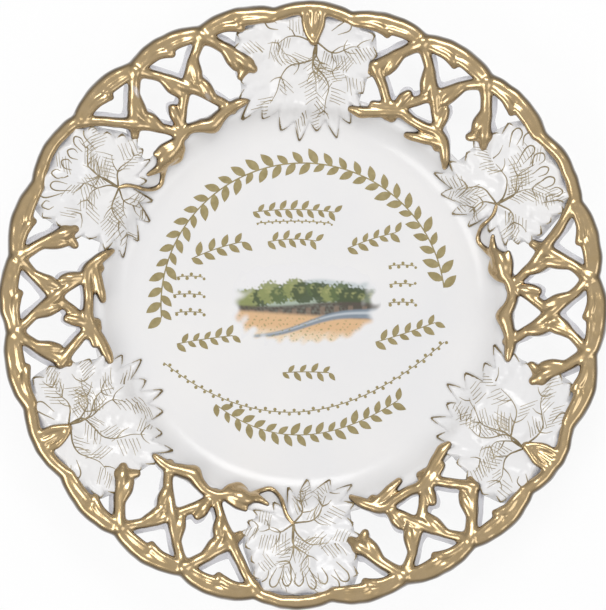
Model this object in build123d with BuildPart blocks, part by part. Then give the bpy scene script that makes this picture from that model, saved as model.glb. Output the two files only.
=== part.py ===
"""Seder plate: a pierced porcelain plate with a rim of vine twigs and vine leaves.

Millimetres, +Z up. The origin is on the plate's axis, on the plane it stands on.
The rim pattern repeats three times. Going clockwise, each repeat has a rising
leaf (stem on the shoulder), a wide trellis, a hanging leaf (stem on the outer
branch) and a narrow trellis. A bearing is measured clockwise in degrees from
the first rising leaf. A share is the way across the rim, 0 at the edge of the
flat well and 1 at the crests of the outer edge.
"""

import os
from math import cos, radians, sin, sqrt, tan

from build123d import *

# Whole rim
RIM_RADIUS = 160.5
REPEATS = 3
FIRST_LEAF_ANGLE = 150.0
RIM_SLOPE = 17.0

# Dish
WELL_RADIUS = 88.0
FLOOR_TOP = 9.5
WALL = 4.5
CAVETTO_RADIUS = 22.0
CAVETTO_ANGLE = 52.0
SHOULDER_RADIUS = 8.0
LEDGE_LENGTH = 3.5

# Foot ring
FOOT_RADIUS = 84.0
FOOT_TOP_WIDTH = 7.0
FOOT_LAND = 3.0
FOOT_ROUND = 1.0

# Outer branch, with one scallop for every knot of the trellis
BRANCH_RADIUS = 4.2
SCALLOPS = 8
SCALLOP_DEPTH = 4.0
NOTCH_ROUND = 14.0
FIRST_KNOT = 9.5
RIM_SPUR_SCALLOPS = (0, 1, 2, 4, 5, 6)

# Trellis twigs: upright oval bars, with a swelling on the upper one at every crossing
TWIG_RADIUS = 3.4
TWIG_DEPTH = 0.8
OVER_RISE = 0.7
CROSSING_SHARE = 0.6
CROSSING_SWELL = 0.9

# Spurs: tear-shaped, leaving the branch or a twig at a narrow angle
SPUR_ROOT = 2.6
SPUR_TIP = 1.8
SPUR_LENGTH = 9.0
SPUR_SPREAD = 4.4
RIM_SPUR_DROP = 3.4

# Leaves
LEAF_RISE = 1.6
LEAF_NOTCH = 3.0
RIB_RISE = 0.9
RIB_WIDTH = 2.6

# Shoulder twigs and leaf stems
SHOULDER_TWIG_RADIUS = 3.4
STEM_RADIUS = 1.6
HOOK_RADIUS = 3.7
KNUCKLE = 1.05

KNOT_STEP = 360.0 / REPEATS / SCALLOPS
SHOULDER_TURN = CAVETTO_ANGLE - RIM_SLOPE
CAVETTO_END = WELL_RADIUS + CAVETTO_RADIUS * sin(radians(CAVETTO_ANGLE))
CAVETTO_TOP = FLOOR_TOP + CAVETTO_RADIUS * (1 - cos(radians(CAVETTO_ANGLE)))
SHOULDER_AXIS = CAVETTO_END + SHOULDER_RADIUS * sin(radians(CAVETTO_ANGLE))
SHOULDER_BASE = CAVETTO_TOP - SHOULDER_RADIUS * cos(radians(CAVETTO_ANGLE))
SHOULDER_END = SHOULDER_AXIS - SHOULDER_RADIUS * sin(radians(RIM_SLOPE))
SHOULDER_TOP = SHOULDER_BASE + SHOULDER_RADIUS * cos(radians(RIM_SLOPE))
DISH_RADIUS = SHOULDER_END + LEDGE_LENGTH * cos(radians(RIM_SLOPE))
TWIG_SINK = WALL - TWIG_RADIUS - TWIG_DEPTH / 2


def rim_radius(share):
    """Distance from the axis at a share of the way across the rim."""
    return WELL_RADIUS + share * (RIM_RADIUS - WELL_RADIUS)


def upper_level(radius):
    """Height of the dish's upper face, carried on past its edge at the rim's slope."""
    if radius <= WELL_RADIUS:
        return FLOOR_TOP
    if radius <= CAVETTO_END:
        return FLOOR_TOP + CAVETTO_RADIUS - sqrt(CAVETTO_RADIUS**2 - (radius - WELL_RADIUS) ** 2)
    if radius <= SHOULDER_END:
        return SHOULDER_BASE + sqrt(SHOULDER_RADIUS**2 - (radius - SHOULDER_AXIS) ** 2)
    return SHOULDER_TOP + (radius - SHOULDER_END) * tan(radians(RIM_SLOPE))


def place(bearing, radius, lift=0.0):
    """Point on the rim at a bearing and radius, lifted over the upper face."""
    angle = radians(FIRST_LEAF_ANGLE - bearing)
    return Vector(radius * cos(angle), radius * sin(angle), upper_level(radius) + lift)


def face_line(height, start, ledge):
    """Draw the line parallel to the dish's upper face, from a radius to a ledge length."""
    floor = Line((start, FLOOR_TOP + height), (WELL_RADIUS, FLOOR_TOP + height))
    cavetto = JernArc(floor @ 1, (1, 0), CAVETTO_RADIUS - height, CAVETTO_ANGLE)
    shoulder = JernArc(cavetto @ 1, cavetto % 1, SHOULDER_RADIUS + height, -SHOULDER_TURN)
    return floor @ 0, Line(shoulder @ 1, shoulder @ 1 + (shoulder % 1) * ledge) @ 1


def straight(start, end):
    """Plane at the start of a straight run, looking along it, with X level."""
    heading = end - start
    return Plane(origin=start, x_dir=heading.cross(Vector(0, 0, 1)), z_dir=heading)


def knotty_twig(points, radii):
    """Round twig of tapered runs, with a knuckle wherever two runs meet."""
    with BuildPart() as stick:
        for start, end, first, last in zip(points, points[1:], radii, radii[1:]):
            run = straight(start, end)
            with BuildSketch(run):
                Circle(first)
            with BuildSketch(run.offset((end - start).length)):
                Circle(last)
            loft(ruled=True)
        for point, radius in zip(points, radii):
            with Locations(point):
                Sphere(radius * KNUCKLE)
    return stick.part


def spur(root, tip):
    """Tear-shaped spur that narrows from its root to a round tip."""
    run = straight(root, tip)
    with BuildPart() as thorn:
        with BuildSketch(run):
            Circle(SPUR_ROOT)
        with BuildSketch(run.offset((tip - root).length)):
            Circle(SPUR_TIP)
        loft(ruled=True)
        with Locations(Plane(origin=tip, z_dir=tip - root)):
            Sphere(SPUR_TIP)
    return thorn.part


def export_repeats(piece, name):
    """Write one piece three times, turned to each repeat of the rim."""
    for repeat in range(REPEATS):
        with BuildPart() as turned:
            add(piece.part.rotate(Axis.Z, -repeat * 360.0 / REPEATS))
        turned.part.label = f"{name}_{repeat + 1}"
        export_step(turned.part, f"parts/{turned.part.label}.step")


def export_single(piece, name):
    """Write a piece the plate has once."""
    piece.part.label = name
    export_step(piece.part, f"parts/{name}.step")


os.makedirs("parts", exist_ok=True)

# Dish: flat well, cavetto and shoulder, ending in a ledge for the rim
with BuildPart() as dish:
    with BuildSketch(Plane.XZ):
        with BuildLine():
            top_start, top_end = face_line(0.0, 0.0, LEDGE_LENGTH)
            low_start, low_end = face_line(-WALL, 0.0, LEDGE_LENGTH)
            Line(top_start, low_start)
            Line(top_end, low_end)
        make_face()
    revolve(axis=Axis.Z)

# Foot ring: tapers down to a flat land
with BuildPart() as foot_ring:
    with BuildSketch(Plane.XZ):
        with BuildLine():
            middle = FOOT_RADIUS - FOOT_TOP_WIDTH / 2
            Polyline(
                (middle - FOOT_TOP_WIDTH / 2, FLOOR_TOP - WALL),
                (middle + FOOT_TOP_WIDTH / 2, FLOOR_TOP - WALL),
                (middle + FOOT_LAND / 2 + FOOT_ROUND, 0),
                (middle - FOOT_LAND / 2 - FOOT_ROUND, 0),
                close=True,
            )
        make_face()
    revolve(axis=Axis.Z)
    fillet(foot_ring.faces().sort_by(Axis.Z)[0].edges(), FOOT_ROUND)

# Outer branch: a round bar along the scallops, with a spur on the inner side of most of them
CREST_LINE = RIM_RADIUS - BRANCH_RADIUS
NOTCH_LINE = CREST_LINE - SCALLOP_DEPTH
BRANCH_LEVEL = upper_level(NOTCH_LINE)


def plan_point(bearing, radius):
    """Point in plan at a bearing and radius."""
    angle = radians(FIRST_LEAF_ANGLE - bearing)
    return (radius * cos(angle), radius * sin(angle))


with BuildSketch(Plane.XY.offset(BRANCH_LEVEL)) as scalloped_edge:
    with BuildLine():
        for scallop in range(REPEATS * SCALLOPS):
            bearing = FIRST_KNOT + scallop * KNOT_STEP
            ThreePointArc(
                plan_point(bearing, NOTCH_LINE),
                plan_point(bearing + KNOT_STEP / 2, CREST_LINE),
                plan_point(bearing + KNOT_STEP, NOTCH_LINE),
            )
    make_face()
    fillet(scalloped_edge.vertices(), NOTCH_ROUND)

branch_path = scalloped_edge.sketch.face().outer_wire()
rim_spurs = []
for repeat in range(REPEATS):
    for scallop in RIM_SPUR_SCALLOPS:
        knot = FIRST_KNOT + (repeat * SCALLOPS + scallop) * KNOT_STEP
        root = place(knot + KNOT_STEP / 4, NOTCH_LINE)
        tip = place(knot + KNOT_STEP / 2, NOTCH_LINE - RIM_SPUR_DROP)
        rim_spurs.append(spur(root, tip))

with BuildPart() as rim_branch:
    with BuildSketch(Plane(origin=branch_path @ 0, z_dir=branch_path % 0)):
        Circle(BRANCH_RADIUS)
    sweep(path=branch_path)
    add(rim_spurs)

# Leaves: tips round the margin, as bearing and share, and the ribs that run to some of them
HANGING_BASE = (63.0, 0.72)
HANGING_TIPS = (
    (51.0, 0.90), (46.2, 0.83), (44.8, 0.73), (45.4, 0.61), (44.4, 0.49), (42.8, 0.38),
    (41.5, 0.23), (45.2, 0.19), (49.0, 0.16), (52.3, 0.10), (54.4, 0.00), (59.0, 0.01),
    (64.0, 0.07), (67.8, 0.08), (72.5, 0.04), (76.0, 0.16), (77.0, 0.28), (76.0, 0.41),
    (77.2, 0.56), (76.6, 0.70), (75.0, 0.83), (71.0, 0.90), (61.0, 0.90),
)
HANGING_RIBS = (2, 6, 10, 14, 17, 19)
RISING_BASE = (2.5, 0.40)
RISING_TIPS = (
    (-15.5, 0.17), (-14.6, 0.30), (-13.0, 0.44), (-14.2, 0.54), (-12.0, 0.68), (-11.5, 0.80),
    (-9.0, 0.90), (-4.0, 0.90), (2.0, 0.90), (8.0, 0.90), (10.4, 0.81), (11.6, 0.70),
    (13.6, 0.61), (15.4, 0.52), (14.4, 0.43), (14.2, 0.34), (11.0, 0.28), (7.2, 0.23),
    (5.4, 0.16), (1.5, 0.10), (-3.5, 0.08), (-8.0, 0.10), (-12.0, 0.13),
)
RISING_RIBS = (0, 4, 7, 9, 13, 20)


def leaf_margin(base, tips):
    """Toothed outline in plan: the tips, with a notch drawn in toward the base between each two."""
    heart = Vector(*plan_point(base[0], rim_radius(base[1])))
    corners = [Vector(*plan_point(bearing, rim_radius(share))) for bearing, share in tips]
    outline = []
    for corner, following in zip(corners, corners[1:] + corners[:1]):
        middle = (corner + following) / 2
        outline.append(corner)
        outline.append(middle + (heart - middle).normalized() * LEAF_NOTCH)
    return outline


def leaf_rib(base, tip):
    """Outline in plan of a rib that narrows from the base most of the way to one tip."""
    start = Vector(*plan_point(base[0], rim_radius(base[1])))
    end = Vector(*plan_point(tip[0], rim_radius(tip[1])))
    along = (end - start).normalized()
    across = Vector(-along.Y, along.X) * (RIB_WIDTH / 2)
    stop = start + (end - start) * 0.86
    return (start - across, start + across, stop + across * 0.3, stop - across * 0.3)


# Leaf body: a skin over the dish that hooks over its ledge and carries on to the branch
REACH = (RIM_RADIUS - SHOULDER_END) / cos(radians(RIM_SLOPE))
SEAT = WALL / 2

with BuildPart() as leaf_skin:
    with BuildSketch(Plane.XZ):
        with BuildLine():
            skin_start, skin_end = face_line(LEAF_RISE, WELL_RADIUS / 2, REACH)
            seat_start, seat_end = face_line(-SEAT, WELL_RADIUS / 2, LEDGE_LENGTH)
            slope = Vector(cos(radians(RIM_SLOPE)), sin(radians(RIM_SLOPE)))
            under = seat_end + Vector(slope.Y, -slope.X) * (WALL - SEAT)
            far = under + slope * (REACH - LEDGE_LENGTH)
            Polyline(seat_end, under, far, skin_end)
            Line(skin_start, seat_start)
        make_face()
    revolve(axis=Axis.Z)

with BuildPart() as rib_skin:
    with BuildSketch(Plane.XZ):
        with BuildLine():
            rib_start, rib_end = face_line(LEAF_RISE + RIB_RISE, WELL_RADIUS / 2, REACH)
            bed_start, bed_end = face_line(LEAF_RISE / 2, WELL_RADIUS / 2, REACH)
            Line(rib_start, bed_start)
            Line(rib_end, bed_end)
        make_face()
    revolve(axis=Axis.Z)


def ribs_on(base, tips, picked):
    """All the ribs of one leaf, cut to the rise of a rib."""
    with BuildPart() as ribs:
        with BuildSketch():
            for index in picked:
                Polygon(*leaf_rib(base, tips[index]), align=None)
        extrude(amount=upper_level(RIM_RADIUS) * 2)
        add(rib_skin.part, mode=Mode.INTERSECT)
    return ribs.part


rising_ribs = ribs_on(RISING_BASE, RISING_TIPS, RISING_RIBS)
hanging_ribs = ribs_on(HANGING_BASE, HANGING_TIPS, HANGING_RIBS)

with BuildPart() as rising_leaf:
    with BuildSketch():
        Polygon(*leaf_margin(RISING_BASE, RISING_TIPS), align=None)
    extrude(amount=upper_level(RIM_RADIUS) * 2)
    add(leaf_skin.part, mode=Mode.INTERSECT)
    add(rising_ribs)
    for neighbour in (dish, rim_branch):
        add(neighbour.part, mode=Mode.SUBTRACT)

with BuildPart() as hanging_leaf:
    with BuildSketch():
        Polygon(*leaf_margin(HANGING_BASE, HANGING_TIPS), align=None)
    extrude(amount=upper_level(RIM_RADIUS) * 2)
    add(leaf_skin.part, mode=Mode.INTERSECT)
    add(hanging_ribs)
    for neighbour in (dish, rim_branch):
        add(neighbour.part, mode=Mode.SUBTRACT)

# Shoulder twigs: bearing, distance in from the dish's edge, and thickness
WIDE_EDGE = (
    (11.5, 5.1, 0.5), (15.0, 4.4, 0.9), (18.0, 5.1, 1.2), (21.5, 2.9, 0.95), (25.0, 0.0, 0.95),
    (29.0, 2.2, 0.95), (32.0, 2.9, 1.1), (36.0, 2.9, 1.0), (40.0, 0.7, 0.95), (44.5, 2.2, 0.5),
)
NARROW_EDGE = (
    (74.5, 4.4, 0.5), (78.0, 3.6, 0.85), (82.0, 1.5, 0.95), (86.0, 0.7, 0.95), (90.0, 3.6, 1.05),
    (94.0, 5.1, 1.15), (98.0, 2.9, 1.05), (101.5, 0.0, 1.0), (104.5, 2.2, 0.85), (107.5, 7.3, 0.5),
)


def shoulder_twig(edge):
    """Wavy twig half sunk in the dish's shoulder."""
    points = [place(b, DISH_RADIUS - inset, SHOULDER_TWIG_RADIUS * 0.3 * t) for b, inset, t in edge]
    return knotty_twig(points, [SHOULDER_TWIG_RADIUS * t for b, inset, t in edge])


wide_edge = shoulder_twig(WIDE_EDGE)
narrow_edge = shoulder_twig(NARROW_EDGE)

with BuildPart() as wide_shoulder_twig:
    add(wide_edge)
    for neighbour in (dish, rising_leaf, hanging_leaf):
        add(neighbour.part, mode=Mode.SUBTRACT)

next_rising = rising_leaf.part.rotate(Axis.Z, -360.0 / REPEATS)

with BuildPart() as narrow_shoulder_twig:
    add(narrow_edge)
    for neighbour in (dish.part, hanging_leaf.part, next_rising):
        add(neighbour, mode=Mode.SUBTRACT)

# Trellis: each twig leaves a knot of the branch, leans one way and crosses its neighbour.
# A twig is knot, lean, and where it starts and ends: 0 at the branch, 1 at the crossing,
# 2 at the dish's edge. The last values place the tips of its spurs along the twig.
WIDE_TWIGS = (
    (0, 1, 0.0, 2.0, (1.28,)),
    (1, -1, 0.0, 1.25, (0.82,)),
    (1, 1, 0.0, 2.0, (0.9, 1.3)),
    (2, -1, 0.0, 2.0, (0.85, 1.55)),
    (2, 1, 0.0, 1.15, (0.85,)),
    (3, -1, 1.0, 1.45, ()),
)
NARROW_TWIGS = (
    (5, -1, 0.0, 1.15, (0.82,)),
    (5, 1, 0.0, 2.0, (0.88, 1.4)),
    (6, -1, 0.0, 2.0, (0.85, 1.55)),
    (6, 1, 0.0, 1.2, (0.9,)),
    (4, 1, 0.95, 2.0, ()),
    (7, -1, 1.0, 1.45, ()),
)


def twig_point(knot, lean, way):
    """Point on a trellis twig's centre line, some way along it."""
    bearing = FIRST_KNOT + (knot + lean * way / 2) * KNOT_STEP
    crossing = rim_radius(CROSSING_SHARE)
    if way <= 1:
        radius = NOTCH_LINE + (crossing - NOTCH_LINE) * way
    else:
        radius = crossing + (DISH_RADIUS - crossing) * (way - 1)
    return place(bearing, radius, -TWIG_SINK + OVER_RISE * (lean > 0))


def trellis_bars(knot, lean, start, end, tips):
    """Straight runs of one trellis twig; it bends only at its crossing."""
    stops = [start, 1.0, end] if start < 1.0 < end else [start, end]
    points = [twig_point(knot, lean, way) for way in stops]
    overrun = TWIG_RADIUS / 4
    with BuildPart() as bars:
        for first, last in zip(points, points[1:]):
            run = straight(first, last).offset(-overrun)
            with BuildSketch(run):
                SlotCenterToCenter(TWIG_DEPTH, 2 * TWIG_RADIUS, rotation=90)
            extrude(amount=(last - first).length + 2 * overrun)
        if lean > 0 and start < 1.0 < end:
            with Locations(points[1]):
                Sphere(TWIG_RADIUS + CROSSING_SWELL)
    return bars.part


def twig_spurs(knot, lean, start, end, tips):
    """Spurs of one twig, each pointing into the open diamond beside it."""
    spurs = []
    for way in tips:
        spot = twig_point(knot, lean, way)
        heading = (twig_point(knot, lean, way + 0.05) - twig_point(knot, lean, way - 0.05)).normalized()
        side = heading.cross(Vector(0, 0, 1)).normalized()
        lower = way > 1
        outward = side.dot(Vector(spot.X, spot.Y, 0)) > 0
        facing = side if outward == lower else -side
        root = spot + heading * (SPUR_LENGTH if lower else -SPUR_LENGTH)
        spurs.append(spur(root, spot + facing * SPUR_SPREAD))
    return spurs


wide_bars = [trellis_bars(*row) for row in WIDE_TWIGS]
wide_spurs = [thorn for row in WIDE_TWIGS for thorn in twig_spurs(*row)]
narrow_bars = [trellis_bars(*row) for row in NARROW_TWIGS]
narrow_spurs = [thorn for row in NARROW_TWIGS for thorn in twig_spurs(*row)]

# Everything inside the dish's edge, which the trellis stops at
with BuildPart() as dish_mouth:
    Cylinder(DISH_RADIUS, upper_level(RIM_RADIUS) * 2)

with BuildPart() as wide_trellis:
    add(wide_bars)
    add(wide_spurs)
    for neighbour in (rim_branch, dish, dish_mouth, rising_leaf, hanging_leaf, wide_shoulder_twig):
        add(neighbour.part, mode=Mode.SUBTRACT)

with BuildPart() as narrow_trellis:
    add(narrow_bars)
    add(narrow_spurs)
    for neighbour in (rim_branch, dish, dish_mouth, hanging_leaf, narrow_shoulder_twig):
        add(neighbour.part, mode=Mode.SUBTRACT)
    add(next_rising, mode=Mode.SUBTRACT)

# Leaf stems: a loop on the shoulder, and a hook that grows out of the branch
# The loop's points are bearing, distance in from the dish's edge, and thickness
RISING_LOOP = (
    (4.6, 0.0, 1.1), (6.2, 6.5, 1.0), (8.0, 10.9, 1.0), (10.2, 12.3, 1.0), (12.8, 10.2, 1.0), (15.2, 7.2, 1.0),
)
LOOP_HEAD = 1.2
HANGING_HOOK = ((61.4, 0.90, 1.0), (61.6, 0.84, 0.9), (62.3, 0.77, 0.75), (63.3, 0.70, 0.6))

loop_points = [place(RISING_BASE[0], rim_radius(RISING_BASE[1]), LEAF_RISE * 0.8)]
loop_points += [place(b, DISH_RADIUS - inset, LEAF_RISE * 0.8) for b, inset, t in RISING_LOOP]
loop_bar = knotty_twig(loop_points, [STEM_RADIUS * t for t in (LOOP_HEAD, *(t for b, inset, t in RISING_LOOP))])
hook_points = [place(b, rim_radius(s), LEAF_RISE / 2 + HOOK_RADIUS * 0.25 * t) for b, s, t in HANGING_HOOK]
hook_bar = knotty_twig(hook_points, [HOOK_RADIUS * t for b, s, t in HANGING_HOOK])

with BuildPart() as rising_stem:
    add(loop_bar)
    with Locations(loop_points[0]):
        Sphere(STEM_RADIUS * 1.35)
    for neighbour in (dish, rising_leaf, wide_shoulder_twig):
        add(neighbour.part, mode=Mode.SUBTRACT)

with BuildPart() as hanging_stem:
    add(hook_bar)
    with Locations(hook_points[-1]):
        Sphere(HOOK_RADIUS * 0.75)
    for neighbour in (rim_branch, hanging_leaf):
        add(neighbour.part, mode=Mode.SUBTRACT)

export_single(dish, "dish")
export_single(foot_ring, "foot_ring")
export_single(rim_branch, "rim_branch")
export_repeats(rising_leaf, "rising_leaf")
export_repeats(hanging_leaf, "hanging_leaf")
export_repeats(rising_stem, "rising_stem")
export_repeats(hanging_stem, "hanging_stem")
export_repeats(wide_shoulder_twig, "wide_shoulder_twig")
export_repeats(narrow_shoulder_twig, "narrow_shoulder_twig")
export_repeats(wide_trellis, "wide_trellis")
export_repeats(narrow_trellis, "narrow_trellis")
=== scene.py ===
"""Seder plate in glazed porcelain: a pierced rim of gilded vine twigs and six painted vine leaves.

Every piece of the rim is modelled in plan first, as x, y and lift over the plate's upper face in
millimetres, and is then draped over that face. A bearing is measured clockwise in degrees from the
first rising leaf, and a share is the way across the rim, from the flat well to the outer crests.
"""

import logging
import math
from dataclasses import dataclass, field
from enum import Enum
from typing import ClassVar

import bpy
import numpy as np
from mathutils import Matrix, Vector
from mathutils.geometry import delaunay_2d_cdt


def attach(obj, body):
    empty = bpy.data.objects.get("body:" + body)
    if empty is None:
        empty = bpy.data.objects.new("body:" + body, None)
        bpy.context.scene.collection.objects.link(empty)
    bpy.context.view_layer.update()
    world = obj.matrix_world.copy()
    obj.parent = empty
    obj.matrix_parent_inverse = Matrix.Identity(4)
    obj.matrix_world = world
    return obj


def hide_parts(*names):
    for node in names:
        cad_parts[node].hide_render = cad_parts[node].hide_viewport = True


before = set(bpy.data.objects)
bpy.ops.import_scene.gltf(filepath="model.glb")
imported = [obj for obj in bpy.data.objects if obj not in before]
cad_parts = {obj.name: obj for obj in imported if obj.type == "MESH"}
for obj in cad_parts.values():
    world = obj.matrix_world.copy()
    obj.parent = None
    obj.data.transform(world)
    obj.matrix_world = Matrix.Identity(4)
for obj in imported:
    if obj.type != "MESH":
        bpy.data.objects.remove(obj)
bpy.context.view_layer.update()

MM = 0.001
LOG = logging.getLogger("seder_plate")
Points = np.ndarray


class Panel(Enum):
    """The two kinds of pierced panel between the leaves."""

    WIDE = "wide"
    NARROW = "narrow"


class LeafKind(Enum):
    """The two ways a vine leaf lies on the rim."""

    RISING = "rising"
    HANGING = "hanging"


def linear(code: str) -> tuple[float, float, float, float]:
    """Turn an sRGB hex colour into a linear colour.

    Args:
        code: Colour as #rrggbb.

    Returns:
        Linear red, green, blue and an alpha of one.
    """
    parts = [int(code[i : i + 2], 16) / 255 for i in (1, 3, 5)]
    red, green, blue = (c / 12.92 if c <= 0.04045 else ((c + 0.055) / 1.055) ** 2.4 for c in parts)
    return red, green, blue, 1.0


def add_node(tree: bpy.types.NodeTree, kind: str, inputs: dict | None = None, **settings) -> bpy.types.Node:
    """Add one node with its settings, values and links.

    Args:
        tree: Node tree that takes the node.
        kind: The node's type name.
        inputs: Socket name or index, with a value or the output socket that feeds it.
        **settings: The node's own properties.

    Returns:
        The new node.
    """
    node = tree.nodes.new(kind)
    for name, value in settings.items():
        setattr(node, name, value)
    for key, value in (inputs or {}).items():
        if isinstance(value, bpy.types.NodeSocket):
            tree.links.new(value, node.inputs[key])
        else:
            node.inputs[key].default_value = value
    return node


def smooth_step(value: Points, low: float, high: float) -> Points:
    """Blend from 0 at low to 1 at high along a smooth curve."""
    way = np.clip((np.asarray(value, float) - low) / (high - low), 0, 1)
    return way * way * (3 - 2 * way)


def ripple(points: Points, wavelength: float, seed: int) -> Points:
    """Smooth wandering values, about -1 to 1, made of waves in many directions.

    Args:
        points: Places, one row each.
        wavelength: Size of the ripples, in the unit of the places.
        seed: Picks the waves.

    Returns:
        One value for each place.
    """
    rng = np.random.default_rng(seed)
    waves = 9
    heading = rng.normal(size=(points.shape[1], waves))
    heading *= rng.uniform(0.6, 1.5, waves) * 2 * math.pi / wavelength / np.linalg.norm(heading, axis=0)
    return np.sin(points @ heading + rng.uniform(0, 2 * math.pi, waves)).sum(axis=1) / math.sqrt(waves)


def line_distance(points: Points, line: Points) -> tuple[Points, Points]:
    """Distance from places to a run of straight stretches.

    Args:
        points: Places in plan.
        line: Corners of the run.

    Returns:
        The distance of each place, and how far along the run its nearest spot is, from 0 to 1.
    """
    best = np.full(len(points), np.inf)
    along = np.zeros(len(points))
    lengths = np.linalg.norm(np.diff(line, axis=0), axis=1)
    reached = np.concatenate(([0.0], np.cumsum(lengths)))
    for index, (first, last) in enumerate(zip(line, line[1:])):
        span = last - first
        way = np.clip((points - first) @ span / max(span @ span, 1e-9), 0, 1)
        gap = np.linalg.norm(points - first - way[:, None] * span, axis=1)
        nearer = gap < best
        best[nearer] = gap[nearer]
        along[nearer] = (reached[index] + way[nearer] * lengths[index]) / reached[-1]
    return best, along


def bend(start: Points, middle: Points, end: Points, count: int) -> Points:
    """Points along a curve that passes through three places.

    Args:
        start: First place.
        middle: Place halfway along.
        end: Last place.
        count: How many points come back.

    Returns:
        One row for each point.
    """
    start, middle, end = (np.asarray(p, float) for p in (start, middle, end))
    way = np.linspace(0, 1, count)[:, None]
    pull = 2 * middle - (start + end) / 2
    return (1 - way) ** 2 * start + 2 * way * (1 - way) * pull + way**2 * end


def through(points: Points, step: float) -> Points:
    """Points about a step apart on a smooth curve through all the places given.

    Args:
        points: Places on the curve; the first two columns are its plan.
        step: Distance between the points that come back.

    Returns:
        Rows with the same columns.
    """
    points = np.asarray(points, float)
    padded = np.vstack((2 * points[0] - points[1], points, 2 * points[-1] - points[-2]))
    rows = []
    for before, first, last, after in zip(padded, padded[1:], padded[2:], padded[3:]):
        count = max(2, int(np.linalg.norm((last - first)[:2]) / step))
        for way in np.linspace(0, 1, count, endpoint=False):
            rows.append(
                0.5 * (2 * first + (last - before) * way
                       + (2 * before - 5 * first + 4 * last - after) * way**2
                       + (3 * first - before - 3 * last + after) * way**3)
            )
    return np.array(rows + [points[-1]])


def dome_ends(run: Points) -> Points:
    """Round off both ends of a run.

    Args:
        run: Rows of x, y, lift and half thickness.

    Returns:
        The run, longer by one half thickness at each end.
    """
    turns = np.radians((25.0, 50.0, 70.0, 85.0))
    domes = []
    for end, inner in ((run[0], run[1]), (run[-1], run[-2])):
        along = (end - inner)[:2] / np.linalg.norm((end - inner)[:2])
        dome = np.tile(end, (len(turns), 1))
        dome[:, :2] += along * end[3] * np.sin(turns)[:, None]
        dome[:, 3] = end[3] * np.cos(turns)
        domes.append(dome)
    return np.vstack((domes[0][::-1], run, domes[1]))


@dataclass(frozen=True)
class PlateForm:
    """The plate's upper face, which every piece of the rim follows. Sizes in millimetres."""

    rim_radius: float = 160.5
    well_radius: float = 88.0
    floor_top: float = 9.5
    wall: float = 4.5
    cavetto_radius: float = 22.0
    cavetto_angle: float = math.radians(52.0)
    shoulder_radius: float = 8.0
    rim_slope: float = math.radians(17.0)
    ledge_length: float = 3.5
    wall_lean: float = 0.8
    lean_run: float = 9.0
    lean_fade: tuple[float, float] = (148.0, 154.0)
    repeats: int = 3
    first_leaf_angle: float = 150.0

    @property
    def cavetto_end(self) -> float:
        """Radius where the cavetto meets the shoulder."""
        return self.well_radius + self.cavetto_radius * math.sin(self.cavetto_angle)

    @property
    def cavetto_top(self) -> float:
        """Height where the cavetto meets the shoulder."""
        return self.floor_top + self.cavetto_radius * (1 - math.cos(self.cavetto_angle))

    @property
    def shoulder_axis(self) -> tuple[float, float]:
        """Radius and height of the shoulder's centre of curvature."""
        across = self.cavetto_end + self.shoulder_radius * math.sin(self.cavetto_angle)
        return across, self.cavetto_top - self.shoulder_radius * math.cos(self.cavetto_angle)

    @property
    def shoulder_end(self) -> float:
        """Radius where the shoulder passes into the straight rim."""
        return self.shoulder_axis[0] - self.shoulder_radius * math.sin(self.rim_slope)

    @property
    def dish_radius(self) -> float:
        """Radius of the dish's own edge, where the pierced rim begins."""
        return self.shoulder_end + self.ledge_length * math.cos(self.rim_slope)

    def tilt(self, radius: Points) -> Points:
        """Angle of the upper face against the level.

        Args:
            radius: Distances from the axis.

        Returns:
            Radians, one for each radius.
        """
        on_cavetto = np.arcsin(np.clip((radius - self.well_radius) / self.cavetto_radius, 0, 1))
        on_shoulder = np.arcsin(np.clip((self.shoulder_axis[0] - radius) / self.shoulder_radius, 0, 1))
        rim = np.full_like(on_cavetto, self.rim_slope)
        return np.select(
            [radius <= self.cavetto_end, radius <= self.shoulder_end], [on_cavetto, on_shoulder], rim
        )

    def level(self, radius: Points) -> Points:
        """Height of the upper face, carried on at the rim's slope past the dish.

        Args:
            radius: Distances from the axis.

        Returns:
            One height for each radius.
        """
        inner = np.clip(radius - self.well_radius, 0, self.cavetto_radius)
        cavetto = self.floor_top + self.cavetto_radius - np.sqrt(self.cavetto_radius**2 - inner**2)
        across, base = self.shoulder_axis
        offset = np.clip(radius - across, -self.shoulder_radius, self.shoulder_radius)
        shoulder = base + np.sqrt(self.shoulder_radius**2 - offset**2)
        top = base + self.shoulder_radius * math.cos(self.rim_slope)
        rim = top + (radius - self.shoulder_end) * math.tan(self.rim_slope)
        return np.select([radius <= self.cavetto_end, radius <= self.shoulder_end], [cavetto, shoulder], rim)

    def drape(self, plan: Points) -> Points:
        """Lay plan points over the upper face.

        Args:
            plan: Rows of x, y and lift, in millimetres.

        Returns:
            Rows of x, y and z, in metres. Below the face, the pierced walls lean outward, up to the branch.
        """
        radius = np.hypot(plan[:, 0], plan[:, 1])
        lift = plan[:, 2]
        tilt = self.tilt(radius)
        grown = smooth_step(radius, self.dish_radius, self.dish_radius + self.lean_run)
        pierced = grown * smooth_step(-radius, -self.lean_fade[1], -self.lean_fade[0])
        lean = self.wall_lean * pierced * (lift < 0)
        scale = (radius - lift * (np.sin(tilt) + lean)) / np.maximum(radius, 1e-6)
        height = self.level(radius) + lift * np.cos(tilt)
        return np.column_stack((plan[:, 0] * scale, plan[:, 1] * scale, height)) * MM

    def across(self, share: float) -> float:
        """Radius at a share of the way across the rim."""
        return self.well_radius + share * (self.rim_radius - self.well_radius)

    def spot(self, bearing: float, radius: float) -> Points:
        """Place in plan at a bearing and radius."""
        angle = math.radians(self.first_leaf_angle - bearing)
        return np.array((radius * math.cos(angle), radius * math.sin(angle)))


FORM = PlateForm()


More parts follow.
